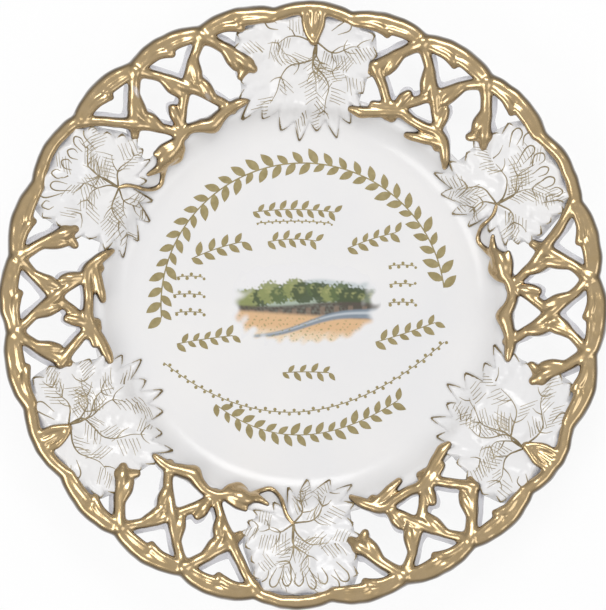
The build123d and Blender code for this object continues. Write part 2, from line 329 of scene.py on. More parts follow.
def put_in_scene(name: str, data: bpy.types.ID) -> bpy.types.Object:
    """Make an object of a mesh, a lamp or a camera and link it.

    Args:
        name: Name of the object.
        data: What the object shows.

    Returns:
        The linked object.
    """
    made = bpy.data.objects.new(name, data)
    bpy.context.scene.collection.objects.link(made)
    return made


def mesh_object(name: str, points: Points, faces: list, material: bpy.types.Material) -> bpy.types.Object:
    """Make a smooth mesh object at the origin.

    Args:
        name: Name of the piece.
        points: Rows of x, y and z in metres.
        faces: Corner indices of each face.
        material: Finish of the piece.

    Returns:
        The linked object.
    """
    mesh = bpy.data.meshes.new(name)
    mesh.from_pydata(points.tolist(), [], [list(map(int, f)) for f in faces])
    mesh.validate()
    mesh.shade_smooth()
    mesh.materials.append(material)
    return put_in_scene(name, mesh)


def line_mesh(name: str, runs: list[Points]) -> bpy.types.Object:
    """Make a helper object of bare lines for Geometry Nodes to follow.

    Args:
        name: Name of the helper.
        runs: Lines, with rows of x, y, lift and half thickness.

    Returns:
        The linked helper.
    """
    mesh = bpy.data.meshes.new(name)
    rows = np.vstack(runs)
    edges, start = [], 0
    for run in runs:
        edges += [(start + i, start + i + 1) for i in range(len(run) - 1)]
        start += len(run)
    mesh.from_pydata(rows[:, :3].tolist(), edges, [])
    mesh.attributes.new("thickness", "FLOAT", "POINT").data.foreach_set("value", rows[:, 3])
    return put_in_scene(name, mesh)


def settle(helper: bpy.types.Object, name: str) -> bpy.types.Mesh:
    """Turn a helper with modifiers into a plain mesh and remove the helper.

    Args:
        helper: Object whose modifiers make the piece.
        name: Name of the mesh.

    Returns:
        The evaluated mesh.
    """
    bpy.context.view_layer.update()
    graph = bpy.context.evaluated_depsgraph_get()
    mesh = bpy.data.meshes.new_from_object(helper.evaluated_get(graph), depsgraph=graph)
    mesh.name = name
    helper.modifiers.clear()
    bpy.data.objects.remove(helper)
    return mesh


def read_rows(items: bpy.types.bpy_prop_collection, key: str) -> Points:
    """Read three numbers from each item.

    Args:
        items: Vertices or normals of a mesh.
        key: What is read.

    Returns:
        One row for each item.
    """
    flat = np.zeros(len(items) * 3, np.float32)
    items.foreach_get(key, flat)
    return flat.reshape(-1, 3).astype(float)


def get_points(mesh: bpy.types.Mesh) -> Points:
    """Vertex places of a mesh, one row each."""
    return read_rows(mesh.vertices, "co")


def get_normals(mesh: bpy.types.Mesh) -> Points:
    """Vertex normals of a mesh, one row each."""
    return read_rows(mesh.vertex_normals, "vector")


def set_points(mesh: bpy.types.Mesh, points: Points) -> None:
    """Move the vertices of a mesh."""
    mesh.vertices.foreach_set("co", points.astype(np.float32).ravel())
    mesh.update()


def set_values(mesh: bpy.types.Mesh, name: str, values: Points) -> None:
    """Store one number for each vertex under a name."""
    mesh.attributes.new(name, "FLOAT", "POINT").data.foreach_set("value", values.astype(np.float32))


def hand_over(piece: bpy.types.Object, slot: str, *nodes: str) -> None:
    """Let a finished piece ride on the plate and stand for its CAD nodes.

    Args:
        piece: Finished object.
        slot: Material slot of the record. Not used.
        *nodes: CAD nodes that the piece stands for.
    """
    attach(piece, "root")
    if nodes:
        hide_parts(*nodes)
    stands_for = ", ".join(nodes) or "no node"
    LOG.info("%s: %d faces, stands for %s", piece.name, len(piece.data.polygons), stands_for)


# Finishes


def new_material(name: str) -> tuple[bpy.types.Material, bpy.types.NodeTree, bpy.types.Node]:
    """Start a node material.

    Args:
        name: Name of the material.

    Returns:
        The material, its node tree and its Principled shader.
    """
    material = bpy.data.materials.new(name)
    material.use_nodes = True
    tree = material.node_tree
    return material, tree, tree.nodes["Principled BSDF"]


@dataclass(frozen=True)
class PorcelainGlaze:
    """Slip-cast porcelain under a clear dipped glaze: white, glossy, a little cooler where it pools."""

    name: str = "glazed_porcelain"
    body: str = "#eeecea"
    pooled: str = "#e4e4e6"
    roughness: float = 0.20
    index: float = 1.5
    pooling_mm: float = 45.0
    ripple_mm: float = 9.0
    ripple_height: float = 0.06

    def material(self) -> bpy.types.Material:
        """Build the glaze's nodes.

        Returns:
            The material.
        """
        material, tree, shader = new_material(self.name)
        place = add_node(tree, "ShaderNodeTexCoord").outputs["Object"]
        pools = add_node(
            tree, "ShaderNodeTexNoise", {"Vector": place, "Scale": 1 / (self.pooling_mm * MM), "Detail": 2.0}
        )
        tone = add_node(
            tree, "ShaderNodeMix", {0: pools.outputs[0], 6: linear(self.body), 7: linear(self.pooled)},
            data_type="RGBA",
        )
        waves = add_node(
            tree, "ShaderNodeTexNoise", {"Vector": place, "Scale": 1 / (self.ripple_mm * MM), "Detail": 1.0}
        )
        dimple = add_node(
            tree, "ShaderNodeBump",
            {"Height": waves.outputs[0], "Strength": self.ripple_height, "Distance": MM},
        )
        tree.links.new(tone.outputs[2], shader.inputs["Base Color"])
        tree.links.new(dimple.outputs[0], shader.inputs["Normal"])
        shader.inputs["Roughness"].default_value = self.roughness
        shader.inputs["IOR"].default_value = self.index
        return material


@dataclass(frozen=True)
class FiredGold:
    """Liquid bright gold brushed on the glaze and fired: a thin metal film, satin in the hollows.

    The film is darkened to brown on the steep flanks as painted shade, stops on the pierced walls, where
    the white glaze shows, and is rubbed on some knots. A sharper sheen over the satin is its burnish.
    """

    name: str = "fired_gold_on_porcelain"
    dense: str = "#d1b78d"
    thin: str = "#b59a6b"
    # Dark brown of the painted shade on the steep flanks.
    flank: str = "#4a3818"
    glaze: str = "#dad9de"
    metal_roughness: float = 0.24
    satin_range: float = 0.06
    burnish: float = 1.0
    burnish_roughness: float = 0.08
    glaze_roughness: float = 0.10
    brushing_mm: float = 7.0
    grain_mm: float = 1.6
    grain_height: float = 0.03
    grain_depth_mm: float = 0.5

    def material(self) -> bpy.types.Material:
        """Build the gilding's nodes; the attribute gilt says where the film lies, flank where painted shade
        darkens it.

        Returns:
            The material.
        """
        material, tree, shader = new_material(self.name)
        place = add_node(tree, "ShaderNodeTexCoord").outputs["Object"]
        film = add_node(tree, "ShaderNodeAttribute", attribute_name="gilt").outputs["Fac"]
        brushing = add_node(
            tree, "ShaderNodeTexNoise", {"Vector": place, "Scale": 1 / (self.brushing_mm * MM), "Detail": 3.0}
        ).outputs[0]
        gold = add_node(
            tree, "ShaderNodeMix", {0: brushing, 6: linear(self.dense), 7: linear(self.thin)},
            data_type="RGBA",
        )
        # Painted shade: steep flanks that face away from the top are darkened toward the dark brown.
        shade_share = add_node(tree, "ShaderNodeAttribute", attribute_name="flank").outputs["Fac"]
        shaded_flank = add_node(
            tree, "ShaderNodeMix", {0: shade_share, 6: gold.outputs[2], 7: linear(self.flank)}, data_type="RGBA"
        )
        tone = add_node(
            tree, "ShaderNodeMix", {0: film, 6: linear(self.glaze), 7: shaded_flank.outputs[2]}, data_type="RGBA"
        )
        low, high = self.metal_roughness - self.satin_range, self.metal_roughness + self.satin_range
        satin = add_node(tree, "ShaderNodeMapRange", {0: brushing, 3: low, 4: high})
        gloss = add_node(tree, "ShaderNodeMix", {0: film, 2: self.glaze_roughness, 3: satin.outputs[0]})
        grain = add_node(
            tree, "ShaderNodeTexNoise", {"Vector": place, "Scale": 1 / (self.grain_mm * MM), "Detail": 2.0}
        )
        tooth = add_node(
            tree, "ShaderNodeBump",
            {"Height": grain.outputs[0], "Strength": self.grain_height, "Distance": self.grain_depth_mm * MM},
        )
        tree.links.new(tone.outputs[2], shader.inputs["Base Color"])
        tree.links.new(film, shader.inputs["Metallic"])
        tree.links.new(gloss.outputs[0], shader.inputs["Roughness"])
        tree.links.new(tooth.outputs[0], shader.inputs["Normal"])
        shader.inputs["Coat Weight"].default_value = self.burnish
        shader.inputs["Coat Roughness"].default_value = self.burnish_roughness
        return material


@dataclass(frozen=True)
class GoldLine:
    """Gold drawn with a fine brush on the glaze: a dull olive line that thins where the brush lifts."""

    name: str = "brushed_gold_line"
    loaded: str = "#6c5a35"
    lifted: str = "#b5a788"
    roughness: float = 0.34
    metallic: float = 0.25
    stroke_mm: float = 3.0
    thin_mm: float = 0.1
    full_mm: float = 0.6
    lift_range: tuple[float, float] = (0.3, -0.4)

    def material(self) -> bpy.types.Material:
        """Build the line's nodes; the attribute thickness holds the stroke's half width.

        Returns:
            The material.
        """
        material, tree, shader = new_material(self.name)
        place = add_node(tree, "ShaderNodeTexCoord").outputs["Object"]
        brush = add_node(
            tree, "ShaderNodeTexNoise", {"Vector": place, "Scale": 1 / (self.stroke_mm * MM), "Detail": 2.0}
        )
        width = add_node(tree, "ShaderNodeAttribute", attribute_name="thickness").outputs["Fac"]
        load = add_node(
            tree, "ShaderNodeMapRange",
            {0: width, 1: self.thin_mm, 2: self.full_mm, 3: self.lift_range[0], 4: self.lift_range[1]},
        )
        lift = add_node(
            tree, "ShaderNodeMath", {0: brush.outputs[0], 1: load.outputs[0]}, operation="ADD", use_clamp=True
        )
        tone = add_node(
            tree, "ShaderNodeMix", {0: lift.outputs[0], 6: linear(self.loaded), 7: linear(self.lifted)},
            data_type="RGBA",
        )
        tree.links.new(tone.outputs[2], shader.inputs["Base Color"])
        shader.inputs["Roughness"].default_value = self.roughness
        shader.inputs["Metallic"].default_value = self.metallic
        return material


@dataclass(frozen=True)
class OverglazeEnamel:
    """Thin enamel colours painted over the glaze and fired: matt pigment under a soft gloss."""

    name: str = "overglaze_enamel"
    roughness: float = 0.16
    stipple_mm: float = 0.9
    stipple_depth: float = 0.35

    def material(self) -> bpy.types.Material:
        """Build the enamel's nodes; the attribute paint holds its colours.

        Returns:
            The material.
        """
        material, tree, shader = new_material(self.name)
        place = add_node(tree, "ShaderNodeTexCoord").outputs["Object"]
        paint = add_node(tree, "ShaderNodeAttribute", attribute_name="paint").outputs["Color"]
        stipple = add_node(
            tree, "ShaderNodeTexNoise", {"Vector": place, "Scale": 1 / (self.stipple_mm * MM), "Detail": 1.0}
        )
        depth = add_node(
            tree, "ShaderNodeMapRange", {0: stipple.outputs[0], 3: 1 - self.stipple_depth / 2, 4: 1.0}
        )
        tree.links.new(paint, shader.inputs["Base Color"])
        tree.links.new(depth.outputs[0], shader.inputs["Specular IOR Level"])
        shader.inputs["Roughness"].default_value = self.roughness
        return material


# Geometry Nodes


def new_tree(name: str, sizes: dict[str, str]) -> tuple[bpy.types.NodeTree, bpy.types.Node, dict[str, str]]:
    """Start a Geometry Nodes tree with named inputs.

    Args:
        name: Name of the tree.
        sizes: Input names with their socket types.

    Returns:
        The tree, its input node and the identifier of each named input.
    """
    tree = bpy.data.node_groups.new(name, "GeometryNodeTree")
    tree.interface.new_socket(name="Geometry", in_out="INPUT", socket_type="NodeSocketGeometry")
    tree.interface.new_socket(name="Geometry", in_out="OUTPUT", socket_type="NodeSocketGeometry")
    keys = {}
    for label, kind in sizes.items():
        keys[label] = tree.interface.new_socket(name=label, in_out="INPUT", socket_type=kind).identifier
    return tree, tree.nodes.new("NodeGroupInput"), keys


def apply_tree(
    helper: bpy.types.Object, tree: bpy.types.NodeTree, keys: dict[str, str], values: dict
) -> None:
    """Put a tree on a helper with its named inputs set.

    Args:
        helper: Object that takes the tree.
        tree: Geometry Nodes tree.
        keys: Identifier of each named input.
        values: Value of each named input.
    """
    modifier = helper.modifiers.new(tree.name, "NODES")
    modifier.node_group = tree
    for label, value in values.items():
        modifier[keys[label]] = value


def end_tree(tree: bpy.types.NodeTree, shape: bpy.types.NodeSocket, finish: bpy.types.NodeSocket) -> None:
    """Close a tree with realised instances and a material.

    Args:
        tree: Tree to close.
        shape: Output that gives the shape.
        finish: Output that gives the material.
    """
    real = add_node(tree, "GeometryNodeRealizeInstances", {0: shape})
    dressed = add_node(tree, "GeometryNodeSetMaterial", {"Geometry": real.outputs[0], "Material": finish})
    add_node(tree, "NodeGroupOutput", {0: dressed.outputs[0]})


def tube_tree() -> tuple[bpy.types.NodeTree, dict[str, str]]:
    """Tubes along bare lines: round on top, with upright walls that may run deep and flare.

    Returns:
        The tree and the identifiers of its inputs.
    """
    floats = ("Spacing", "Depth", "Flare", "Wobble", "Wobble Size")
    sizes = {label: "NodeSocketFloat" for label in floats}
    sizes["Material"] = "NodeSocketMaterial"
    tree, given, keys = new_tree("twig_tubes", sizes)
    sides = 24
    squareness = 0.35
    line = add_node(tree, "GeometryNodeMeshToCurve", {0: given.outputs["Geometry"]})
    evened = add_node(
        tree, "GeometryNodeResampleCurve", {"Curve": line.outputs[0], "Length": given.outputs["Spacing"]},
        mode="LENGTH",
    )
    spot = add_node(tree, "GeometryNodeInputPosition")
    scaled = add_node(
        tree, "ShaderNodeVectorMath", {0: spot.outputs[0], 1: given.outputs["Wobble Size"]},
        operation="DIVIDE",
    )
    drift = add_node(tree, "ShaderNodeTexNoise", {"Vector": scaled.outputs[0], "Scale": 1.0, "Detail": 1.0})
    centred = add_node(
        tree, "ShaderNodeVectorMath", {0: drift.outputs["Color"], 1: (0.5, 0.5, 0.5)}, operation="SUBTRACT"
    )
    shifted = add_node(
        tree, "ShaderNodeVectorMath", {0: centred.outputs[0], "Scale": given.outputs["Wobble"]},
        operation="SCALE",
    )
    crooked = add_node(tree, "GeometryNodeSetPosition", {0: evened.outputs[0], "Offset": shifted.outputs[0]})
    upright = add_node(tree, "GeometryNodeSetCurveNormal", {0: crooked.outputs[0]}, mode="Z_UP")
    width = add_node(tree, "GeometryNodeInputNamedAttribute", {"Name": "thickness"}, data_type="FLOAT")
    sized = add_node(
        tree, "GeometryNodeSetCurveRadius", {"Curve": upright.outputs[0], "Radius": width.outputs[0]}
    )
    ring = add_node(tree, "GeometryNodeCurvePrimitiveCircle", {"Resolution": sides, "Radius": 1.0})
    corner = add_node(tree, "ShaderNodeSeparateXYZ", {0: spot.outputs[0]})
    below = add_node(tree, "ShaderNodeMath", {0: corner.outputs[1], 1: 0.0}, operation="MAXIMUM")
    above = add_node(tree, "ShaderNodeMath", {0: corner.outputs[1], 1: 0.0}, operation="MINIMUM")
    deep = add_node(
        tree, "ShaderNodeMath", {0: below.outputs[0], 1: given.outputs["Depth"], 2: above.outputs[0]},
        operation="MULTIPLY_ADD",
    )
    widen = add_node(
        tree, "ShaderNodeMath", {0: below.outputs[0], 1: given.outputs["Flare"], 2: 1.0},
        operation="MULTIPLY_ADD",
    )
    way = add_node(tree, "ShaderNodeMath", {0: corner.outputs[0]}, operation="SIGN")
    reach = add_node(tree, "ShaderNodeMath", {0: corner.outputs[0]}, operation="ABSOLUTE")
    square = add_node(tree, "ShaderNodeMath", {0: reach.outputs[0], 1: squareness}, operation="POWER")
    boxed = add_node(tree, "ShaderNodeMath", {0: square.outputs[0], 1: way.outputs[0]}, operation="MULTIPLY")
    under = add_node(tree, "ShaderNodeMath", {0: corner.outputs[1], 1: 0.0}, operation="GREATER_THAN")
    side = add_node(
        tree, "ShaderNodeMix", {0: under.outputs[0], 2: corner.outputs[0], 3: boxed.outputs[0]}
    )
    wide = add_node(tree, "ShaderNodeMath", {0: side.outputs[0], 1: widen.outputs[0]}, operation="MULTIPLY")
    moved = add_node(tree, "ShaderNodeCombineXYZ", {0: wide.outputs[0], 1: deep.outputs[0]})
    section = add_node(
        tree, "GeometryNodeSetPosition", {0: ring.outputs[0], "Position": moved.outputs[0]}
    )
    tube = add_node(
        tree, "GeometryNodeCurveToMesh",
        {"Curve": sized.outputs[0], "Profile Curve": section.outputs[0], "Fill Caps": True},
    )
    if "Scale" in tube.inputs:
        tree.links.new(width.outputs[0], tube.inputs["Scale"])
    end_tree(tree, tube.outputs[0], given.outputs["Material"])
    return tree, keys


def stroke_tree() -> tuple[bpy.types.NodeTree, dict[str, str]]:
    """Flat brush strokes along bare lines.

    Returns:
        The tree and the identifiers of its inputs.
    """
    tree, given, keys = new_tree(
        "brush_strokes", {"Film": "NodeSocketFloat", "Material": "NodeSocketMaterial"}
    )
    sides = 6
    line = add_node(tree, "GeometryNodeMeshToCurve", {0: given.outputs["Geometry"]})
    upright = add_node(tree, "GeometryNodeSetCurveNormal", {0: line.outputs[0]}, mode="Z_UP")
    width = add_node(tree, "GeometryNodeInputNamedAttribute", {"Name": "thickness"}, data_type="FLOAT")
    sized = add_node(
        tree, "GeometryNodeSetCurveRadius", {"Curve": upright.outputs[0], "Radius": width.outputs[0]}
    )
    ring = add_node(tree, "GeometryNodeCurvePrimitiveCircle", {"Resolution": sides, "Radius": 1.0})
    flat = add_node(tree, "ShaderNodeCombineXYZ", {0: 1.0, 1: given.outputs["Film"], 2: 1.0})
    section = add_node(tree, "GeometryNodeTransform", {0: ring.outputs[0], "Scale": flat.outputs[0]})
    stroke = add_node(
        tree, "GeometryNodeCurveToMesh",
        {"Curve": sized.outputs[0], "Profile Curve": section.outputs[0], "Fill Caps": True},
    )
    if "Scale" in stroke.inputs:
        tree.links.new(width.outputs[0], stroke.inputs["Scale"])
    end_tree(tree, stroke.outputs[0], given.outputs["Material"])
    return tree, keys


def spray_tree() -> tuple[bpy.types.NodeTree, dict[str, str]]:
    """Small motifs set in turn on both sides of a thin stem.

    Returns:
        The tree and the identifiers of its inputs.
    """
    sizes = {
        "Motif": "NodeSocketObject",
        "Motif Length": "NodeSocketFloat",
        "Spacing": "NodeSocketFloat",
        "Spread": "NodeSocketFloat",
        "Stem Width": "NodeSocketFloat",
        "Seed": "NodeSocketInt",
        "Material": "NodeSocketMaterial",
    }
    tree, given, keys = new_tree("gilt_sprays", sizes)
    sides = 6
    smallest, largest = 0.85, 1.15
    flattened = (0.5, 0.2, 1.0)
    line = add_node(tree, "GeometryNodeMeshToCurve", {0: given.outputs["Geometry"]})
    joints = add_node(
        tree, "GeometryNodeResampleCurve", {"Curve": line.outputs[0], "Length": given.outputs["Spacing"]},
        mode="LENGTH",
    )
    tangent = add_node(tree, "GeometryNodeInputTangent")
    aligned = add_node(
        tree, "FunctionNodeAlignRotationToVector", {"Vector": tangent.outputs[0]}, axis="X", pivot_axis="Z"
    )
    index = add_node(tree, "GeometryNodeInputIndex")
    parity = add_node(tree, "ShaderNodeMath", {0: index.outputs[0], 1: 2.0}, operation="MODULO")
    side = add_node(tree, "ShaderNodeMath", {0: parity.outputs[0], 1: 2.0, 2: -1.0}, operation="MULTIPLY_ADD")
    jitter = add_node(
        tree, "FunctionNodeRandomValue", {"Seed": given.outputs["Seed"], 2: smallest, 3: largest},
        data_type="FLOAT",
    )
    opened = add_node(
        tree, "ShaderNodeMath", {0: side.outputs[0], 1: given.outputs["Spread"]}, operation="MULTIPLY"
    )
    varied = add_node(
        tree, "ShaderNodeMath", {0: opened.outputs[0], 1: jitter.outputs[1]}, operation="MULTIPLY"
    )
    turn = add_node(tree, "ShaderNodeCombineXYZ", {2: varied.outputs[0]})
    turned = add_node(
        tree, "FunctionNodeRotateRotation", {0: aligned.outputs[0], 1: turn.outputs[0]},
        rotation_space="LOCAL",
    )
    motif = add_node(tree, "GeometryNodeObjectInfo", {"Object": given.outputs["Motif"]})
    size = add_node(
        tree, "ShaderNodeMath", {0: given.outputs["Motif Length"], 1: jitter.outputs[1]}, operation="MULTIPLY"
    )
    motifs = add_node(
        tree, "GeometryNodeInstanceOnPoints",
        {
            "Points": joints.outputs[0],
            "Instance": motif.outputs["Geometry"],
            "Rotation": turned.outputs[0],
            "Scale": size.outputs[0],
        },
    )
    upright = add_node(tree, "GeometryNodeSetCurveNormal", {0: line.outputs[0]}, mode="Z_UP")
    ring = add_node(
        tree, "GeometryNodeCurvePrimitiveCircle", {"Resolution": sides, "Radius": given.outputs["Stem Width"]}
    )
    section = add_node(tree, "GeometryNodeTransform", {0: ring.outputs[0], "Scale": flattened})
    stem = add_node(
        tree, "GeometryNodeCurveToMesh",
        {"Curve": upright.outputs[0], "Profile Curve": section.outputs[0], "Fill Caps": True},
    )
    both = add_node(tree, "GeometryNodeJoinGeometry", {0: motifs.outputs[0]})
    tree.links.new(stem.outputs[0], both.inputs[0])
    end_tree(tree, both.outputs[0], given.outputs["Material"])
    return tree, keys


# Dish


@dataclass
class Dish:
    """Thrown dish with its foot ring: flat well, hollow cavetto, rounded shoulder, plain underside."""

    glaze: bpy.types.Material
    form: PlateForm = FORM
    foot_radius: float = 84.0
    foot_top_width: float = 7.0
    foot_land: float = 3.0
    foot_round: float = 1.0
    edge_round: float = 1.6
    hollow_round: float = 2.2
    hollow_bend: tuple[float, float] = (0.3, 0.12)
    flank_draw: tuple[float, float] = (0.3, 0.5)
    land_bend: tuple[tuple[float, float], ...] = ((0.25, 1.3), (-0.15, 0.45))
    upper_step: float = 0.6
    lower_step: float = 0.9
    base_margin: float = 10.0
    edge_points: int = 13
    segments: int = 288
    well_rings: tuple[float, ...] = (14.0, 30.0, 46.0, 60.0, 72.0, 80.0, 85.0)

    def upper_line(self, height: float, step: float) -> Points:
        """Profile parallel to the upper face, from the well's edge out to the ledge.

        Args:
            height: Distance over the upper face.
            step: Distance between points.

        Returns:
            Rows of radius and height.
        """
        radii = np.arange(self.form.well_radius, self.form.dish_radius - self.edge_round, step)
        tilt = self.form.tilt(radii)
        return np.column_stack(
            (radii - height * np.sin(tilt), self.form.level(radii) + height * np.cos(tilt))
        )

    def rounded_edge(self) -> Points:
        """Half round of the ledge's edge, from the upper face to the lower one.

        Returns:
            Rows of radius and height.
        """
        radii = np.array([self.form.dish_radius - self.edge_round])
        tilt = self.form.rim_slope
        along = np.array((math.cos(tilt), math.sin(tilt)))
        out = np.array((-math.sin(tilt), math.cos(tilt)))
        top = np.array((radii[0], self.form.level(radii)[0]))
        half = self.form.wall / 2
        turn = np.linspace(math.pi / 2, -math.pi / 2, self.edge_points)[:, None]
        return top - out * half + along * self.edge_round * np.cos(turn) + out * half * np.sin(turn)

    def foot_line(self) -> Points:
        """Profile of the foot ring, from its outer hollow down to the land and up to its inner hollow.

        Returns:
            Rows of radius and height.
        """
        under = self.form.floor_top - self.form.wall
        middle = self.foot_radius - self.foot_top_width / 2
        half_top = self.foot_top_width / 2
        half_low = self.foot_land / 2 + self.foot_round
        corners = [
            (middle + half_top + self.hollow_round, under),
            (
                middle + half_top + self.hollow_round * self.hollow_bend[0],
                under - self.hollow_round * self.hollow_bend[1],
            ),
            (middle + half_top - self.flank_draw[0], under - self.hollow_round * self.flank_draw[1]),
            *((middle + half_low + out, self.foot_round * up) for out, up in self.land_bend),
            (middle + self.foot_land / 2, 0.0),
        ]
        mirrored = [(2 * middle - r, z) for r, z in reversed(corners)]
        return np.array(corners + mirrored)

    def build(self) -> bpy.types.Object:
        """Turn the profile round the axis into a closed mesh.

        Returns:
            The finished piece.
        """
        form = self.form
        under = form.floor_top - form.wall
        well = np.array([(r, form.floor_top) for r in self.well_rings])
        inner = self.foot_radius - self.base_margin
        base = np.array([(r, under) for r in reversed(self.well_rings) if r < inner])
        profile = np.vstack(
            (
                well,
                self.upper_line(0.0, self.upper_step),
                self.rounded_edge(),
                self.upper_line(-form.wall, self.lower_step)[::-1],
                self.foot_line(),
                base,
            )
        )
        angles = np.linspace(0, 2 * math.pi, self.segments, endpoint=False)
        rings = [
            np.column_stack((r * np.cos(angles), r * np.sin(angles), np.full(len(angles), z)))
            for r, z in profile
        ]
        points = np.vstack([*rings, [(0, 0, form.floor_top)], [(0, 0, under)]]) * MM
        faces = []
        count = self.segments
        for ring in range(len(profile) - 1):
            here, there = ring * count, (ring + 1) * count
            for i in range(count):
                j = (i + 1) % count
                faces.append((here + i, there + i, there + j, here + j))
        top, bottom = len(points) - 2, len(points) - 1
        last = (len(profile) - 1) * count
        for i in range(count):
            j = (i + 1) % count
            faces.append((top, i, j))
            faces.append((bottom, last + j, last + i))
        piece = mesh_object("dish_and_foot", points, faces, self.glaze)
        hand_over(piece, "white_porcelain", "dish", "foot_ring")
        return piece


# Leaves


@dataclass(frozen=True)
class LeafPlan:
    """Margin of a leaf: its base, its tooth tips and the tips that ribs run to, as bearing and share.

    The trunk is the tip that the ribs' shared first stretch points to.
    """

    base: tuple[float, float]
    tips: tuple[tuple[float, float], ...]
    ribs: tuple[int, ...]
    trunk: int


LEAF_PLANS = {
    LeafKind.HANGING: LeafPlan(
        (63.0, 0.72),
        (
            (51.0, 0.90), (46.2, 0.83), (44.8, 0.73), (45.4, 0.61), (44.4, 0.49), (42.8, 0.38),
            (41.6, 0.23), (47.6, 0.20), (52.8, 0.09), (58.8, 0.00), (64.6, 0.08), (71.6, 0.05),
            (74.8, 0.18), (77.0, 0.28), (76.0, 0.41), (77.2, 0.56), (76.6, 0.70), (75.0, 0.83),
            (71.0, 0.90), (61.0, 0.90),
        ),
        (2, 6, 9, 11, 14, 16),
        9,
    ),
    LeafKind.RISING: LeafPlan(
        (2.5, 0.40),
        (
            (-15.5, 0.17), (-14.6, 0.30), (-13.0, 0.44), (-14.2, 0.54), (-12.0, 0.68), (-11.5, 0.80),
            (-9.0, 0.90), (-4.0, 0.90), (2.0, 0.90), (8.0, 0.90), (10.4, 0.81), (11.6, 0.70),
            (13.6, 0.61), (15.4, 0.52), (14.4, 0.43), (13.8, 0.34), (8.6, 0.26), (4.6, 0.14),
            (-1.6, 0.08), (-9.0, 0.10),
        ),
        (0, 4, 7, 9, 13, 18),
        8,
    ),
}


